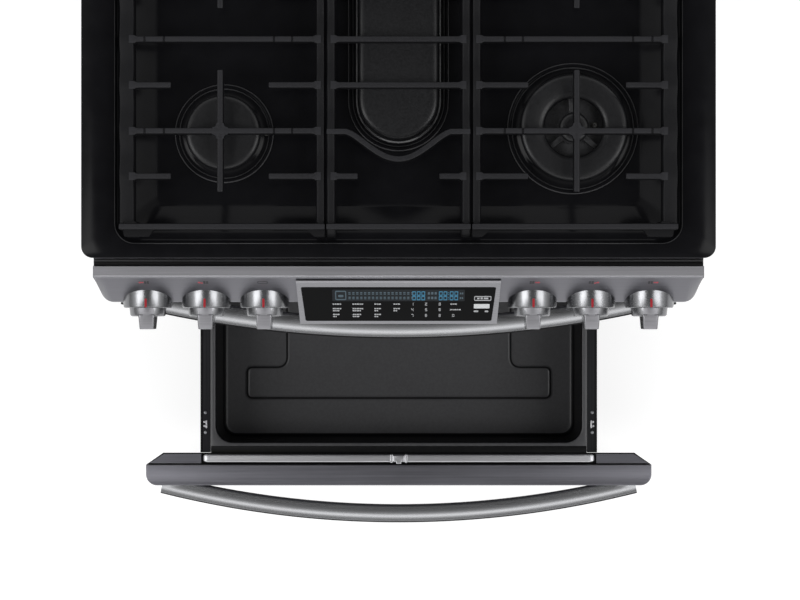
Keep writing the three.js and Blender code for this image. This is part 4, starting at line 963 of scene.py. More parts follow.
def panel_profile(inset=0.0):
    """Section of the bent sheet: back edge, step, top strip, slant, knee, short vertical and floor."""
    low, high, back = PANEL_Z[0] + inset, PANEL_Z[1] - inset, PANEL_Y[1]
    points = [(back, high - 8), (-9.5 - inset, high - 8), (-9.5 - inset, high),
              (SLANT_TOP_Y + 0.9 * inset, high),
              (PANEL_FRONT + inset, KNEE_Z - inset / 2), (PANEL_FRONT + inset, low), (back, low)]
    return fillet(points, [0, 0.8, 1.2, 3.0 - inset, 14, 4 - inset, 0], 6, closed=False)


def panel_stations():
    """The x places where the panel's section is drawn, close together round its corners."""
    half = PANEL_X[1]
    curve = [half - PANEL_CORNER[0] * (1 - math.sin(math.radians(a))) for a in range(0, 91, 9)]
    curve[-1] = half - 0.02
    return [-x for x in reversed(curve)] + [0] + curve


def control_panel():
    """The bent sheet with its bores for the knobs, closed ends, upper bend with a painted highlight, and rear
    lip.
    """
    outer = panel_profile()
    inner = panel_profile(PANEL_SHEET)
    rings = []
    for x in panel_stations():
        limit = panel_front_limit(x)
        section = [(max(y, limit), z) for y, z in outer]
        section += [(max(y, limit + PANEL_SHEET), z) for y, z in reversed(inner)]
        rings.append([(x, y, z) for y, z in section])
    sheet = skin(rings)
    ends = []
    for _, side in SIDES:
        x = side * (PANEL_X[1] - 0.02)
        limit = panel_front_limit(x)
        face = [(max(y, limit), z) for y, z in outer]
        ends.append(skin([[(at, y, z) for y, z in face] for at in (x - side * PANEL_SHEET, x)]))
    panel = make("control_fascia", sheet, STAINLESS, BODY, ["control_panel"], angle=40)
    bore = lathe([(0, -80), (KNOB_BORE, -80), (KNOB_BORE, 80), (0, 80)], 48)
    carve(panel, *(moved(bore, (x, -40, KNOB_Z), facing_cook) for x in KNOB_CENTRES), angle=40)
    for (hand, _), end in zip(SIDES, ends):
        make(f"fascia_end_{hand}", end, STAINLESS, BODY, angle=40)
    half = PANEL_X[1] - 1
    strip = fillet([(-23.7, -1.7), (-21.6, 0.15), (-9.8, 0.15), (-9.8, -1.7)], [0, 2.6, 0.2, 0], 6)
    bend = skin([[(x, y, PANEL_Z[1] + z) for y, z in strip] for x in (-half - 0.6, half + 0.6)])
    # painted highlight: the whole top strip gets the lighter steel
    cover = make("fascia_top_strip", bend, HIGHLIGHT_STEEL, BODY, angle=60)
    # painted highlight: the strip's rounded bend gets the brighter steel
    second_material(cover, BEAD_STEEL_AND_HIGHLIGHT, lambda middle, normal: 0.1 < normal.z < 0.96)
    # painted shade: a black strip at the bottom of the gap behind the fascia's lip
    gap = slab((-half, half), (-9.2, -4.0), (PANEL_Z[1] - 7.6, PANEL_Z[1] - 6.4))
    lip = slab((-half, half), (-4.3, -0.9), (PANEL_Z[1] - 7.6, PANEL_Z[1] - 1.6), edge=1.0)
    make("fascia_gap", gap, BLACK_TRIM_AND_SHADE, BODY)
    make("fascia_lip", lip, CAP_ENAMEL, BODY)


def knob_bezel(number, x):
    """The fixed collar round a knob, with a recess that the knob sinks into."""
    out, recess, tube_back = 30, 24.9, -36
    front, floor = BEZEL_FRONT, BEZEL_FRONT + 12
    profile = [(6, -floor), (recess, -floor), (recess, -front - 0.8), (recess + 0.8, -front),
               (out - 2.2, -front),
               (out - 0.7, -front - 0.7), (out, -front - 2.4), (out, -tube_back), (out - 1.6, -tube_back),
               (out - 1.6, -floor - 1.5), (6, -floor - 1.5)]
    ring = lathe(profile, 72, closed=True)
    make(f"knob_bezel_{number}", moved(ring, (x, 0, KNOB_Z), facing_cook), KNOB_STEEL, BODY)
    line = slab((x - 1.3, x + 1.3), (front + 0.8, front + 11.4), (KNOB_Z + out - 0.3, KNOB_Z + out + 0.2),
                0.4, 0.1)
    make(f"index_line_{number}", line, RED_INK, BODY)


def knob(number, x):
    """Skirt with a rounded rim and an upright tapered grip."""
    radius, skirt = 23.4, 17.3
    body = lathe([(0, 0), (radius - 0.8, 0), (radius, 0.8), (radius, 3.4), (radius - 1.2, 4.0),
                  (radius - 1.2, 5.0),
                  (radius - 0.6, 5.6), (radius - 1.6, skirt - 2.2), (radius - 2.4, skirt - 0.8),
                  (radius - 4.0, skirt), (0, skirt)], 96)
    grip_rings = []
    for up, width, tall, corner in GRIP:
        outline = rounded_rectangle((-width, width), (-tall, tall), corner, 6)
        grip_rings.append([(px, py, skirt + up) for px, py in outline])
    shift = (x, KNOB_BACK, KNOB_Z)
    whole = merge(body, skin(grip_rings))
    piece = make(f"control_knob_{number}", moved(whole, shift, facing_cook), KNOB_STEEL, f"knob_{number}",
                 [f"knob_{number}"])

    # painted highlight: the grip's upward top faces get the lighter steel
    def grip_top(middle, normal):
        return normal.z > 0.85 and middle.z > KNOB_Z + 15 and abs(middle.x - x) < 9
    second_material(piece, HIGHLIGHT_STEEL, grip_top)


def on_slant(x, down, lift=ON_PANEL):
    """A point on the fascia's slant, measured down from its upper edge."""
    top, knee = Vector((SLANT_TOP_Y, PANEL_Z[1])), Vector((PANEL_FRONT, KNEE_Z))
    along = (knee - top).normalized()
    outward = Vector((along.y, -along.x))
    at = top + along * down + outward * lift
    return (x, at.x, at.y)


def printed(x, down, edge):
    """A thin printed patch on the slant, from an outline round its middle."""
    return skin([[on_slant(x + u, down + v, up) for u, v in edge] for up in (0.0, INK)])


def burner_marks():
    """Printed marks above the knobs: a flame dot, then the burner layout with that knob's burner in red."""
    flame = arc(0, 0, 1.7, 2.2, 0, 330, 11)
    cell = rounded_rectangle((-1.3, 1.3), (-1.6, 1.6), 0.5, 3)
    red, grey = [], []
    for x, chosen in zip(KNOB_CENTRES, (0, 1, None, 2, 3, 4)):
        if chosen is None:
            outer = rounded_rectangle((-6.4, 6.4), (-3.4, 3.4), 2.2, 5)
            inner = rounded_rectangle((-5.4, 5.4), (-2.2, 2.2), 1.4, 5)
            band = [[on_slant(x + u, MARK_DOWN + v, up) for u, v in edge]
                    for edge, up in ((outer, 0.0), (outer, INK), (inner, INK), (inner, 0.0))]
            grey.append(skin(band, loop=True))
            continue
        side = -1 if x < 0 else 1
        red.append(printed(x + 5.0 * side, MARK_DOWN, flame))
        red.append(printed(x + 2.0 * side, MARK_DOWN + 1.6 * (chosen % 2), cell))
        for step in (-1.4, -4.6):
            for rise in (-1.9, 1.9):
                grey.append(printed(x + step * side, MARK_DOWN + rise, cell))
    make("burner_marks_red", merge(*red), MARK_RED, BODY)
    make("burner_marks_grey", merge(*grey), MARK_GREY, BODY)


# ---------------------------------------------------------------- display

DISPLAY_TOP = Vector((-29.2, 897.6))
DISPLAY_LIP = Vector((-80.0, 822.0))
DISPLAY_ALONG = (DISPLAY_LIP - DISPLAY_TOP).normalized()
DISPLAY_OUT = Vector((DISPLAY_ALONG.y, -DISPLAY_ALONG.x))
DISPLAY_HALF = (123.4, 121.0)
DISPLAY_MIDDLE = (-45, 855)
KEY_ROWS = (47.6, 59.8, 72.6)
KEY_COLUMNS = (-80.3, -56.2, -29.5, -6.2)
KEY_WIDTHS = ((12.5, 14.0, 8.0, 8.0), (12.6, 13.4, 9.8, 9.0), (9.2, 12.4, 9.6, 0))
KEY_STROKES = (2.4, 1.6, 3.0, 1.8, 2.2, 2.8, 1.6, 2.6)
DIGIT_X = (17.0, 22.6, 28.2, 49.4, 55.0, 62.6, 68.2)
DIGIT_ROWS = (20.4, 30.4)


def on_display(x, down, lift=0.0):
    """A point on the slanted display face: across, down from its top edge, and out from the face."""
    at = DISPLAY_TOP + DISPLAY_ALONG * down + DISPLAY_OUT * lift
    return (x, at.x, at.y)


def display():
    """The tilted display module: steel frame, black glass, lit digits and printed key marks."""
    points = [(-26.2, 896.4), (-27.0, 898.1), tuple(DISPLAY_TOP + DISPLAY_ALONG * 1.2), tuple(DISPLAY_LIP),
              (-76.5, 814.5), (PANEL_FRONT - 0.6, 808.5), (PANEL_FRONT - 0.6, KNEE_Z)]
    profile = fillet(points, [0, 0.5, 0.6, 2.2, 4, 0, 0], 5)
    stations = [(-1, 1.2), (-1, 0.35), (-1, 0), (1, 0), (1, 0.35), (1, 1.2)]
    rings = []
    for side, inset in stations:
        ring = []
        for y, z in profile:
            share = max(0.0, min(1.0, (DISPLAY_TOP.y - z) / (DISPLAY_TOP.y - DISPLAY_LIP.y)))
            half = DISPLAY_HALF[0] + (DISPLAY_HALF[1] - DISPLAY_HALF[0]) * share
            pull = 1 - inset / 60
            ring.append((side * (half - inset * 0.6), y * pull + (1 - pull) * DISPLAY_MIDDLE[0],
                         z * pull + (1 - pull) * DISPLAY_MIDDLE[1]))
        rings.append(ring)
    housing = make("display_housing", skin(rings), FRAME_STEEL, BODY, ["display_bezel"],
                   angle=40)
    carve(housing, glass_slab(0.4, (-3.5, 3)), angle=40)
    # painted highlight: the frame's upward, forward faces get the lighter steel
    second_material(housing, HIGHLIGHT_STEEL, lambda middle, normal: normal.z > 0.62 and normal.y < 0)
    make("display_pane", glass_slab(0.0, (-3.2, -0.6)), BLACK_GLASS, BODY, ["display_glass"])
    display_field()
    display_keys()


def glass_slab(grow, lift):
    """The glass, a little narrower at its lower edge like its frame."""
    top_half, low_half, top, low = 117.6 + grow, 113.8 + grow, 10.2 - grow, 83.6 + grow
    edge = fillet([(-top_half, top), (top_half, top), (low_half, low), (-low_half, low)], 3.0, 5)
    return skin([[on_display(x, down, up) for x, down in edge] for up in lift])


PRINT_LIFT = (-0.6, -0.5)
FIELD_LIFT = (-0.6, -0.55)


def patch(x, down, lift=PRINT_LIFT, corner=0.3):
    """A thin printed patch on the display's glass."""
    edge = rounded_rectangle(x, down, corner, 3)
    return skin([[on_display(u, v, up) for u, v in edge] for up in lift])


def frame_patch(x, down, width, corner):
    """A printed outline on the glass."""
    (x0, x1), (d0, d1) = x, down
    outer = rounded_rectangle(x, down, corner, 4)
    inner = rounded_rectangle((x0 + width, x1 - width), (d0 + width * 2, d1 - width * 2), corner / 2, 4)
    low, high = PRINT_LIFT
    rings = [[on_display(u, v, up) for u, v in edge]
             for edge, up in ((outer, low), (outer, high), (inner, high), (inner, low))]
    return skin(rings, loop=True)


SEGMENTS = {"a": (0, 0, 1, 0), "g": (0, 0.5, 1, 0.5), "d": (0, 1, 1, 1), "f": (0, 0, 0, 0.5),
            "b": (1, 0, 1, 0.5),
            "e": (0, 0.5, 0, 1), "c": (1, 0.5, 1, 1)}
LIT = {"0": "abcdef", "1": "bc", "2": "abged", "3": "abgcd", "4": "fgbc", "5": "afgcd", "6": "afgcde",
       "7": "abc",
       "8": "abcdefg", "9": "abfgcd"}


def numeral(digit, x, down, width, height, thick):
    """A seven-segment numeral, its upper left corner at x and down."""
    bars = []
    for name in LIT[digit]:
        u0, v0, u1, v1 = SEGMENTS[name]
        across = (x + u0 * width - thick / 2, x + u1 * width + thick / 2)
        fall = (down + v0 * height - thick, down + v1 * height + thick)
        bars.append(patch(across, fall, corner=0.15))
    return bars


def display_field():
    """The lit field: a boxed symbol, two rows of small dots, and two rows of numerals."""
    make("display_field", patch((-80.3, 80.3), (16.2, 41.2), FIELD_LIFT, 1.5), DIGIT_FIELD, BODY)
    dots = [frame_patch((-76.8, -63.4), (18.6, 38.8), 1.2, 2.0),
            patch((-73.4, -66.8), (27.5, 32.5), corner=1.6)]
    digits = []
    for down in DIGIT_ROWS:
        for column in range(17):
            x = -60.8 + column * 4.75
            dots.append(patch((x, x + 2.8), (down + 1.2, down + 3.4)))
            dots.append(patch((x, x + 2.8), (down + 4.6, down + 6.4)))
        for x in (35.5, 39.6, 43.7):
            dots.append(patch((x, x + 2.6), (down + 1, down + 6.4)))
        for x in (74.4, 76.8):
            dots.append(patch((x, x + 1.6), (down + 2, down + 6)))
        for x in DIGIT_X:
            digits += numeral("0", x, down + 0.4, 3.6, 7.4, 0.9)
        digits += [patch((60.0, 60.9), (down + at, down + at + 1.4)) for at in (1.8, 5.4)]
    make("display_dots", merge(*dots), DOT_GLOW, BODY)
    make("display_digits", merge(*digits), DIGIT_GLOW, BODY)


def label(x, down, width, lines):
    """One or two short rows of strokes that stand for a key's label."""
    strokes = []
    for line in range(lines):
        length = width * (1 - 0.22 * line)
        at = down + (line - (lines - 1) / 2) * 4.6
        cursor = 0.0
        for stroke in KEY_STROKES:
            if cursor + stroke > length:
                break
            strokes.append(patch((x + cursor, x + cursor + stroke), (at - 1.3, at + 1.3)))
            cursor += stroke + 0.5
    return strokes


def display_keys():
    """Printed key marks: label strokes, a block of numerals and the marks at the right end."""
    labels = []
    for row, (down, wide) in enumerate(zip(KEY_ROWS, KEY_WIDTHS)):
        for x, width in zip(KEY_COLUMNS, wide):
            labels += label(x, down, width, 2 if row else 1)
    for row, text in enumerate(("123", "456", "7890")):
        for column, digit in enumerate(text):
            labels += numeral(digit, 15.9 + column * 16.7, KEY_ROWS[row] - 2.4, 2.0, 4.8, 0.6)
    labels += label(63.2, KEY_ROWS[0], 10.0, 1) + label(63.0, KEY_ROWS[1], 15.0, 1)
    white = patch((91.9, 111.0), (47.4, 57.0), corner=0.6)
    labels.append(frame_patch((91.9, 112.8), (30.2, 40.4), 0.9, 2.0))
    labels += [patch((95.6, 98.4), (33.4, 37)), patch((99.6, 102.4), (33.0, 37)),
               patch((103.6, 109), (33.4, 37))]
    labels += [patch((91.9, 97.6), (61.6, 65.2), corner=1.2),
               patch((105.4, 109.8), (61.6, 65.2), corner=1.2)]
    make("display_labels", merge(*labels), SOFT_WHITE_INK, BODY)
    make("display_block", white, WHITE_INK, BODY)


# ---------------------------------------------------------------- handles

HANDLE_DEPTH = 26.0
HANDLE_CURVE = 27.0
HANDLE_SAG = 43.0
HANDLE_FLAT = 0.2
HANDLE_STEPS = 64


def handle_section(height):
    """Section of a handle: flat on the inner part of its top, then rounding down to a narrow outer side."""
    inner, outer, half = -HANDLE_DEPTH / 2, HANDLE_DEPTH / 2, height / 2
    start = inner + HANDLE_FLAT * HANDLE_DEPTH
    curve = []
    for i in range(13):
        along = (outer - start) * i / 12
        curve.append((start + along, half - HANDLE_CURVE + math.sqrt(HANDLE_CURVE ** 2 - along ** 2)))
    upper = arc(inner + 3, half - 3, 3, 3, 180, 90, 5) + curve
    lower = [(u, -v) for u, v in reversed(upper)]
    return list(reversed(upper + lower))


def bowed_handle(name, node, body, face):
    """A bowed bar whose ends run flat into the face behind it."""
    (x0, x1), (y0, _), (z0, z1) = span(node)
    half = x1 - 0.2
    outer_radius = (half * half + HANDLE_SAG * HANDLE_SAG) / (2 * HANDLE_SAG)
    radius = outer_radius - HANDLE_DEPTH / 2
    centre_y = y0 + outer_radius
    half_angle = math.asin(half / outer_radius)
    path = []
    for i in range(HANDLE_STEPS + 1):
        angle = -half_angle + 2 * half_angle * i / HANDLE_STEPS
        path.append((radius * math.sin(angle), centre_y - radius * math.cos(angle), (z0 + z1) / 2))
    verts, faces = sweep(path, handle_section(z1 - z0))
    trimmed = [(max(x0, min(x1, x)), min(y, face - 0.15), z) for x, y, z in verts]
    bar = make(name, (trimmed, faces), HANDLE_STEEL, body, [node], angle=40)
    # painted shade: the handle's steep sides get the near-black trim colour
    second_material(bar, BLACK_TRIM_AND_SHADE, lambda middle, normal: normal.z < 0.7)


# ---------------------------------------------------------------- oven door

WINDOW_HALF = 230
WINDOW_Z = (425, 655)
WINDOW_LAP = 12
INNER_GLASS = ((-222, 222), (430, 650))
HINGE_X = (317, 327)
DOOR_SHEET = 1.6


def face_outline(x, y, radius):
    """Plan outline with two round front corners."""
    (x0, x1), (y0, y1) = x, y
    return ([(x1, y1), (x0, y1)] + arc(x0 + radius, y0 + radius, radius, radius, 180, 270, 10)
            + arc(x1 - radius, y0 + radius, radius, radius, 270, 360, 10))


def oven_door():
    """The door: bent outer skin, window, inner panel and glass, hinges and handle."""
    def outline(inset):
        return face_outline((DOOR_X[0] + inset, DOOR_X[1] - inset), (DOOR_Y[0] + inset, DOOR_Y[1]),
                            16 - inset)
    panel = make("door_skin", pillow(outline, DOOR_Z, 2.0, 4), STAINLESS, DOOR, ["door_outer_panel"])
    wall = DOOR_SHEET
    hollow = slab((DOOR_X[0] + wall, DOOR_X[1] - wall), (DOOR_Y[0] + wall, DOOR_Y[1] + 5),
                  (DOOR_Z[0] + wall, DOOR_Z[1] - wall), corner=14.4, edge=0.5)
    window = slab((-WINDOW_HALF, WINDOW_HALF), (DOOR_Y[0] - 5, DOOR_Y[0] + 5), WINDOW_Z, corner=0.3,
                  edge=0.3)
    notches = [side_slab(side, HINGE_X, (-28, 6), (DOOR_Z[0] - 2, 304), corner=0.3, edge=0.3) for _,
               side in SIDES]
    carve(panel, hollow, window, *notches)
    pane = slab((-WINDOW_HALF - WINDOW_LAP, WINDOW_HALF + WINDOW_LAP), (DOOR_Y[0] + 1.7, DOOR_Y[0] + 5.6),
                (WINDOW_Z[0] - WINDOW_LAP, WINDOW_Z[1] + WINDOW_LAP))
    make("door_window", pane, WINDOW_GLASS, DOOR, ["door_window_glass"])
    back = span("door_inner_panel")[1][1]
    inner_pane = slab(INNER_GLASS[0], (back - 5.6, back - 1.8), INNER_GLASS[1])
    make("door_inner_glass", inner_pane, WINDOW_GLASS, DOOR)
    finish_node("door_inner_panel", OVEN_ENAMEL, 1.2)
    for hand, _ in SIDES:
        finish_node(f"door_hinge_{hand}", ZINC, 0.5)
    bowed_handle("door_bar", "door_handle", DOOR, FACE)


# ---------------------------------------------------------------- drawer

BEAD_HALF = 285.0
PLATE_HALF = 342.7
SKIN_DEPTH = 30
CHANNEL_FRONT = 30.3
TRAY_FRONT = 19.6
TRAY_BACK = 490
# Half width, growth beyond the tray's plan and corner radius of its rings, then height from its rim or floor.
RIM_RINGS = [(268.6, 3, 26, 0), (267, 1.4, 25, -0.5), (265.9, 0.3, 24, -2), (265.6, 0, 24, -5)]
FLOOR_RINGS = [(264.6, -1.0, 20, 10), (263.9, -1.7, 19, 5), (262.4, -3.2, 18, 1.6), (260, -5.6, 16, 0.3),
               (257, -8.6, 14, 0)]
GROOVE = {"wide": 228.6, "narrow": 168.6, "near": 78.3, "step": 124.6, "far": 430}
SCREWS_AT = (29, 58)


def drawer_front():
    """Brushed outer panel, the flat ends and light bead behind it, the dark closing strip and the latch."""
    (x0, x1), (y0, y1), (z0, z1) = DRAWER_X, DRAWER_Y, DRAWER_Z

    def outline(inset):
        return face_outline((x0 + inset, x1 - inset), (y0 + inset, y0 + SKIN_DEPTH - inset), 16 - inset)
    make("drawer_skin", pillow(outline, (z0, z1), 1.6, 4), STAINLESS, DRAWER, ["drawer_front"])
    wide = x1 - 0.5

    def channel(inset):
        return [(PAN_X[1] - inset, y1 - inset), (-PAN_X[1] + inset, y1 - inset),
                (-PAN_X[1] + inset, y0 + CHANNEL_FRONT + inset), (PAN_X[1] - inset,
                                                                  y0 + CHANNEL_FRONT + inset)]

    def end_flange(inset):
        return [(PLATE_HALF - inset, y1 - inset), (-PLATE_HALF + inset, y1 - inset),
                (-wide + inset, y0 + CHANNEL_FRONT + inset), (wide - inset, y0 + CHANNEL_FRONT + inset)]
    channels = merge(pillow(channel, (z0 + 4, z1 - 6), 0.8, 2),
                     pillow(end_flange, (z1 - 12, z1 - 5), 0.8, 2))
    make("drawer_channel", channels, BLACK_TRIM_AND_SHADE, DRAWER)
    for hand, side in SIDES:
        corners = [(BEAD_HALF + 2, y0 + 32.2), (wide - 4.2, y0 + 32.2), (PLATE_HALF - 1.2, y1 - 1.6),
                   (BEAD_HALF + 2, y1 - 1.6)]
        plate = [(side * px, py) for px, py in corners]
        make(f"drawer_end_plate_{hand}", skin([[(px, py, z) for px, py in plate] for z in (z1 - 5,
                                                                                           z1 - 1.4)]),
             STAINLESS, DRAWER)
    bead_section = fillet([(-5.9, 0), (5.9, 0), (5.9, 5.4), (-5.9, 5.4)], [0.4, 0.4, 4.6, 4.6], 6)
    rings = []
    for inset, scale in ((0, 0.25), (0.8, 0.55), (2.2, 0.8), (4.6, 0.95), (8, 1.0)):
        rings.append([(-BEAD_HALF + inset, y0 + 39.2 + u * scale, z1 - 6 + v * scale) for u,
                      v in bead_section])
    rings += [[(-x, y, z) for x, y, z in ring] for ring in reversed(rings)]
    make("drawer_bead", skin(rings), BEAD_STEEL_AND_HIGHLIGHT, DRAWER, angle=50)
    strip = slab((-PAN_X[1] + 1, PAN_X[1] - 1), (y0 + 45.6, y0 + 56.8), (z1 - 9, PAN_Z[1] + 0.5))
    make("drawer_closing_strip", strip, BLACK_TRIM_AND_SHADE, DRAWER)
    latch = merge(*(slab(x, (y0 + 32.6, y0 + 45.6), (z1 - 5, z1 + 0.6), 1.6, 1.2) for x in ((-13, -8.4),
                                                                                            (8.4, 13))),
                  slab((-8.8, 8.8), (y0 + 34, y0 + 44), (z1 - 5, z1 + 0.2), 1.6, 1.6),
                  slab((-4, 4), (y0 + 31.2, y0 + 36), (z1 - 5, z1 + 0.4), 1.2, 0.8))
    make("drawer_latch", latch, BEAD_STEEL_AND_HIGHLIGHT, DRAWER)
    bowed_handle("drawer_bar", "drawer_handle", DRAWER, y0)


def pan_ring(half, front, back, radius, z):
    """One outline of the tray."""
    return [(x, y, z) for x, y in rounded_rectangle((-half, half), (front, back), radius, 12)]


def drawer_pan():
    """The tray: flange, rolled rim, walls, rounded floor edge, and the same again outside."""
    rim_z, floor_z = PAN_Z[1], PAN_Z[0] + 1.5
    front, back = TRAY_FRONT - DRAWER_OUT, TRAY_BACK - DRAWER_OUT

    def rings(steps, base):
        return [pan_ring(half, front - grow, back + grow, radius, base + up) for half, grow, radius,
                up in steps]
    inside = [pan_ring(PAN_X[1] - inset, PAN_Y[0] + inset, PAN_Y[1] - inset, 3, rim_z - down)
              for inset, down in ((0, 1.4), (0, 0.4), (0.5, 0))]
    inside += rings(RIM_RINGS, rim_z) + rings(FLOOR_RINGS, floor_z)
    outside = rings([(266.8, 1.2, 25, -1.6), (266.8, 1.2, 25, -6)], rim_z)
    outside += rings([(265.8, 0.2, 20, 10), (264, -1.6, 19, 0)], floor_z)
    outside += rings([(261, -4.6, 17, 0), (257, -8.6, 14, 0)], PAN_Z[0])
    brackets = [side_slab(side, (180, 230), (DRAWER_Y[1] + 0.4, front + 1), (150, 190)) for _, side in SIDES]
    tray = make("drawer_tray", merge(skin(list(reversed(outside)) + inside), *brackets), TRAY_PAINT, DRAWER,
                ["drawer_pan"], angle=50)
    # painted shade: the tray's walls between floor and rim are near black
    second_material(tray, TRAY_SHADE, lambda middle, normal: floor_z + 0.8 < middle.z < rim_z - 0.6)
    tray_groove(floor_z)


def tray_groove(floor_z):
    """The line pressed into the tray's floor: wide at the front, narrower behind, with a raised edge and a
    near-black line of painted shade in its crease.
    """
    wide, narrow = GROOVE["wide"], GROOVE["narrow"]
    near, step, far = (GROOVE[key] - DRAWER_OUT for key in ("near", "step", "far"))
    corners = [(-narrow, far), (-narrow, step), (-wide, step), (-wide, near), (wide, near), (wide, step),
               (narrow, step),
               (narrow, far)]
    path = [(x, y, floor_z) for x, y in fillet(corners, [0, 16, 9, 9, 9, 9, 16, 0], 8, closed=False)]
    swell = fillet([(-4.6, -0.5), (4.6, -0.5), (2.0, 0.5), (-2.0, 0.5)], [0, 0, 1.2, 1.2], 4)
    make("tray_ridge", sweep(path, swell), TRAY_PAINT, DRAWER, angle=60)
    line = fillet([(-1.6, 0), (1.6, 0), (1.4, 0.62), (-1.4, 0.62)], 0.1, 2)
    # painted shade: a near-black line in the groove's crease
    make("tray_ridge_line", sweep(path, line), TRAY_SHADE, DRAWER, angle=60)


def drawer_rails():
    """Rails beside the tray, with their screws and the bright release clips."""
    front = PAN_Y[0]
    for hand, side in SIDES:
        finish_node(f"drawer_rail_{hand}", RAIL_STEEL, 0.5)
        finish_node(f"cabinet_rail_{hand}", RAIL_STEEL, 0.5)
        top = span(f"drawer_rail_{hand}")[2][1]
        bars = ((281.2, 35, 47, 1.6), (284.4, 37, 40, 1.4), (284.4, 43, 46, 1.4))
        clip = merge(*(side_slab(side, (279, out), (front + near, front + far), (top, top + up), corner=1,
                                 edge=0.5)
                       for out, near, far, up in bars))
        make(f"rail_clip_{hand}", clip, BEAD_STEEL_AND_HIGHLIGHT, DRAWER)
        edge = side_slab(side, (285.2, 287.6), (front + 1, PAN_Y[1] - 2), (top - 1, top + 0.3), corner=0.3,
                         edge=0.2)
        make(f"rail_edge_{hand}", edge, BLACK_TRIM_AND_SHADE, DRAWER)
        head = lathe([(0, 0), (2.4, 0), (2.4, 0.6), (1.8, 1.3), (0.7, 1.5), (0.7, 1.0), (0, 1.0)], 20)
        screws = [moved(head, (side * 281.6, y, top)) for y in (front + at for at in SCREWS_AT)]
        make(f"rail_screws_{hand}", merge(*screws), ZINC, DRAWER)


# ---------------------------------------------------------------- body and oven

FOOT_PROFILE = [(0, 0), (18.6, 0), (20, 1.2), (20, 4), (18.8, 5.2), (9.6, 8.4), (9, 9.4), (9, 13.4),
                (8.4, 14),
                (5, 14)]
THREAD_STEP = 0.75
THREAD_DEPTH = 0.6
RACK_WIRES = 19
RACK_MARGIN = 22
GASKET_WIDTH = 12.0


def levelling_feet():
    """Four threaded feet with round pads."""
    for row in ("front", "rear"):
        for hand, _ in SIDES:
            node = f"foot_{row}_{hand}"
            top = span(node)[2][1]
            turns = int((top - 15.5) / THREAD_STEP)
            threads = [(5 - THREAD_DEPTH * (i % 2), 14.8 + i * THREAD_STEP) for i in range(turns)]
            foot = lathe(FOOT_PROFILE + threads + [(4.4, top), (0, top)], 40)
            make(f"levelling_{node}", moved(foot, (*centre_of(node), 0)), FOOT_PLASTIC, BODY, [node])


def oven_racks():
    """Wire racks: a rounded rim, wires front to back and two stiffening wires."""
    for level in ("lower", "upper"):
        node = f"oven_rack_{level}"
        (x0, x1), (y0, y1), (z0, z1) = span(node)
        z = (z0 + z1) / 2
        radius = (z1 - z0) / 2
        rim = rounded_rectangle((x0 + radius, x1 - radius), (y0 + radius, y1 - radius), 14, 6)
        parts = [sweep([(x, y, z) for x, y in rim], round_section(radius), loop=True)]
        for i in range(RACK_WIRES):
            x = x0 + RACK_MARGIN + (x1 - x0 - 2 * RACK_MARGIN) * i / (RACK_WIRES - 1)
            parts.append(sweep([(x, y0 + radius, z), (x, y1 - radius, z)], round_section(1.5, 8)))
        for share in (0.3, 0.7):
            y = y0 + (y1 - y0) * share
            parts.append(sweep([(x0 + radius, y, z - 0.8), (x1 - radius, y, z - 0.8)],
                               round_section(2.0, 8)))
        make(f"wire_rack_{level}", merge(*parts), CHROME, BODY, [node])


def tube_gasket():
    """The woven seal round the oven's mouth."""
    (x0, x1), (y0, y1), (z0, z1) = span("door_gasket")
    half, thick = GASKET_WIDTH / 2, (y1 - y0) / 2
    outline = rounded_rectangle((x0 + half, x1 - half), (z0 + half, z1 - half), 20, 8)
    section = fillet([(-half, -thick), (half, -thick), (half, thick), (-half, thick)], 4.5, 4)
    path = [(x, (y0 + y1) / 2, z) for x, z in outline]
    make("oven_seal", sweep(path, section, up=(0, -1, 0), loop=True), GASKET, BODY, ["door_gasket"])


def carried_over():
    """CAD nodes whose shape is right already."""
    finish_node("rear_vent_trim", ENAMEL, 1.2)
    finish_node("base_frame", BODY_PAINT, 0.4)
    finish_node("oven_cavity", OVEN_ENAMEL)
    finish_node("oven_insulation", GLASS_WOOL, 1.0)
    for node in ("back_panel", "gas_manifold", "bake_burner", "broil_burner"):
        finish_node(node, ZINC)
    for hand, _ in SIDES:
        finish_node(f"side_panel_{hand}", BODY_PAINT, 0.5)
    for number in range(1, 7):
        finish_node(f"valve_stem_{number}", ZINC)


# ---------------------------------------------------------------- stage

CAMERA_AHEAD = 50.3
CAMERA_ABOVE = 3100.0
CAMERA_RIGHT = 1.8
CAMERA_LENS = 116.55
SENSOR = 36.0
SKY_STRENGTH = 1.5
SKY_BANDS = [(0.0, 0.22), (0.25, 0.40), (0.45, 0.72), (0.62, 1.15), (0.80, 0.42), (0.97, 0.09)]
FLOOR_GLOW = 0.70
FLOOR_HALF = 12.0
LIGHT_TARGET = (0, 0, 0.7)
# Name, place, size and power of each soft light.
LIGHTS = [("left_box", (-2.6, -0.8, 4.4), (1.4, 2.4), 55), ("right_box", (2.6, -0.8, 4.4), (1.4, 2.4), 45),
          ("front_box", (0, -4.4, 3.2), (4.4, 1.6), 34)]


def camera():
    """A camera that looks straight down at the cooktop."""
    data = bpy.data.cameras.new("camera")
    data.lens = CAMERA_LENS
    data.sensor_width = SENSOR
    data.clip_end = 50
    holder = bpy.data.objects.new("camera", data)
    holder.location = place((CAMERA_RIGHT, -CAMERA_AHEAD, DECK_TOP + CAMERA_ABOVE))
    bpy.context.scene.collection.objects.link(holder)
    bpy.context.scene.camera = holder


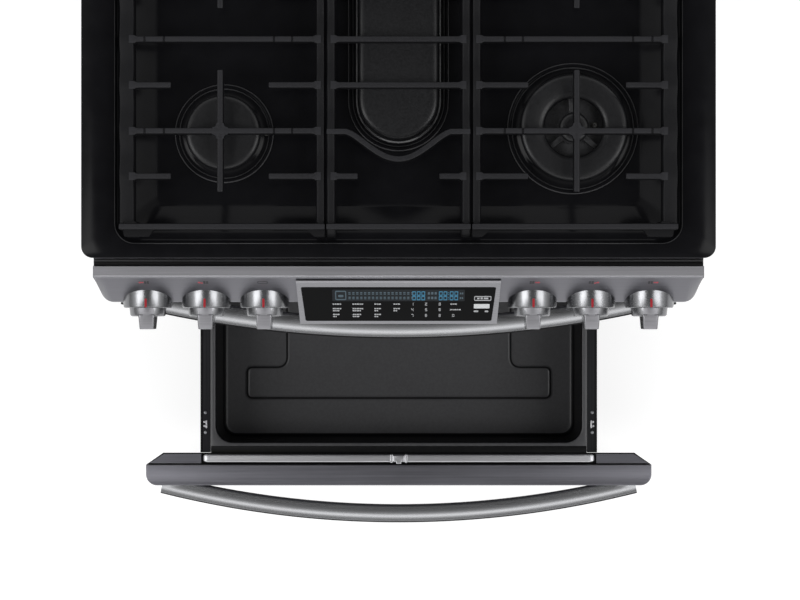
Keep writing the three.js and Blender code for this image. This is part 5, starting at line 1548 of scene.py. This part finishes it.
def floor():
    """A plain pale floor that glows a little, so that it stays white."""
    size = FLOOR_HALF
    mesh = bpy.data.meshes.new("studio_floor")
    mesh.from_pydata([(-size, -size, 0), (size, -size, 0), (size, size, 0), (-size, size, 0)], [],
                     [(0, 1, 2, 3)])
    ground = bpy.data.objects.new("studio_floor", mesh)
    bpy.context.scene.collection.objects.link(ground)
    paint = grained("studio_floor_paint", (0.42, 0.42, 0.42), 0.01, (0.75, 0.85), 3.0, specular=0.0)
    surface = paint.node_tree.nodes["Principled BSDF"]
    surface.inputs["Emission Color"].default_value = (1, 1, 1, 1)
    surface.inputs["Emission Strength"].default_value = FLOOR_GLOW
    mesh.materials.append(paint)


def area_light(name, at, size, power):
    """A soft rectangular light, turned to face the range."""
    data = bpy.data.lights.new(name, "AREA")
    data.shape = "RECTANGLE"
    data.size, data.size_y = size
    data.energy = power
    lamp = bpy.data.objects.new(name, data)
    lamp.location = at
    lamp.rotation_mode = "QUATERNION"
    lamp.rotation_quaternion = (Vector(LIGHT_TARGET) - Vector(at)).to_track_quat("-Z", "Y")
    bpy.context.scene.collection.objects.link(lamp)


def sky():
    """Soft studio surroundings: dark overhead, brightest in a band round the sides."""
    world = bpy.data.worlds.new("studio")
    world.use_nodes = True
    tree = world.node_tree
    coords = tree.nodes.new("ShaderNodeTexCoord")
    axes = tree.nodes.new("ShaderNodeSeparateXYZ")
    bands = tree.nodes.new("ShaderNodeValToRGB")
    stops = bands.color_ramp.elements
    stops[0].position, stops[0].color = SKY_BANDS[0][0], (*[SKY_BANDS[0][1]] * 3, 1)
    stops[1].position, stops[1].color = SKY_BANDS[-1][0], (*[SKY_BANDS[-1][1]] * 3, 1)
    for height, level in SKY_BANDS[1:-1]:
        stop = stops.new(height)
        stop.color = (level, level, level, 1)
    tree.links.new(coords.outputs["Generated"], axes.inputs["Vector"])
    tree.links.new(axes.outputs["Z"], bands.inputs["Fac"])
    tree.links.new(bands.outputs["Color"], tree.nodes["Background"].inputs["Color"])
    tree.nodes["Background"].inputs["Strength"].default_value = SKY_STRENGTH
    bpy.context.scene.world = world


def lights():
    """The sky, the soft lights and a plain view transform."""
    sky()
    for light in LIGHTS:
        area_light(*light)
    bpy.context.scene.view_settings.view_transform = "Standard"


# ---------------------------------------------------------------- assembly

camera()
floor()
lights()
cooktop()
for burner in ROUND_BURNERS:
    round_burner(*burner)
two_ring_burner()
oval_burner()
for hand_name, side_sign in SIDES:
    side_grate(hand_name, side_sign)
centre_grate()
control_panel()
for index, knob_x in enumerate(KNOB_CENTRES):
    knob_bezel(index + 1, knob_x)
    knob(index + 1, knob_x)
burner_marks()
display()
oven_door()
drawer_front()
drawer_pan()
drawer_rails()
levelling_feet()
oven_racks()
tube_gasket()
carried_over()

bpy.context.view_layer.update()
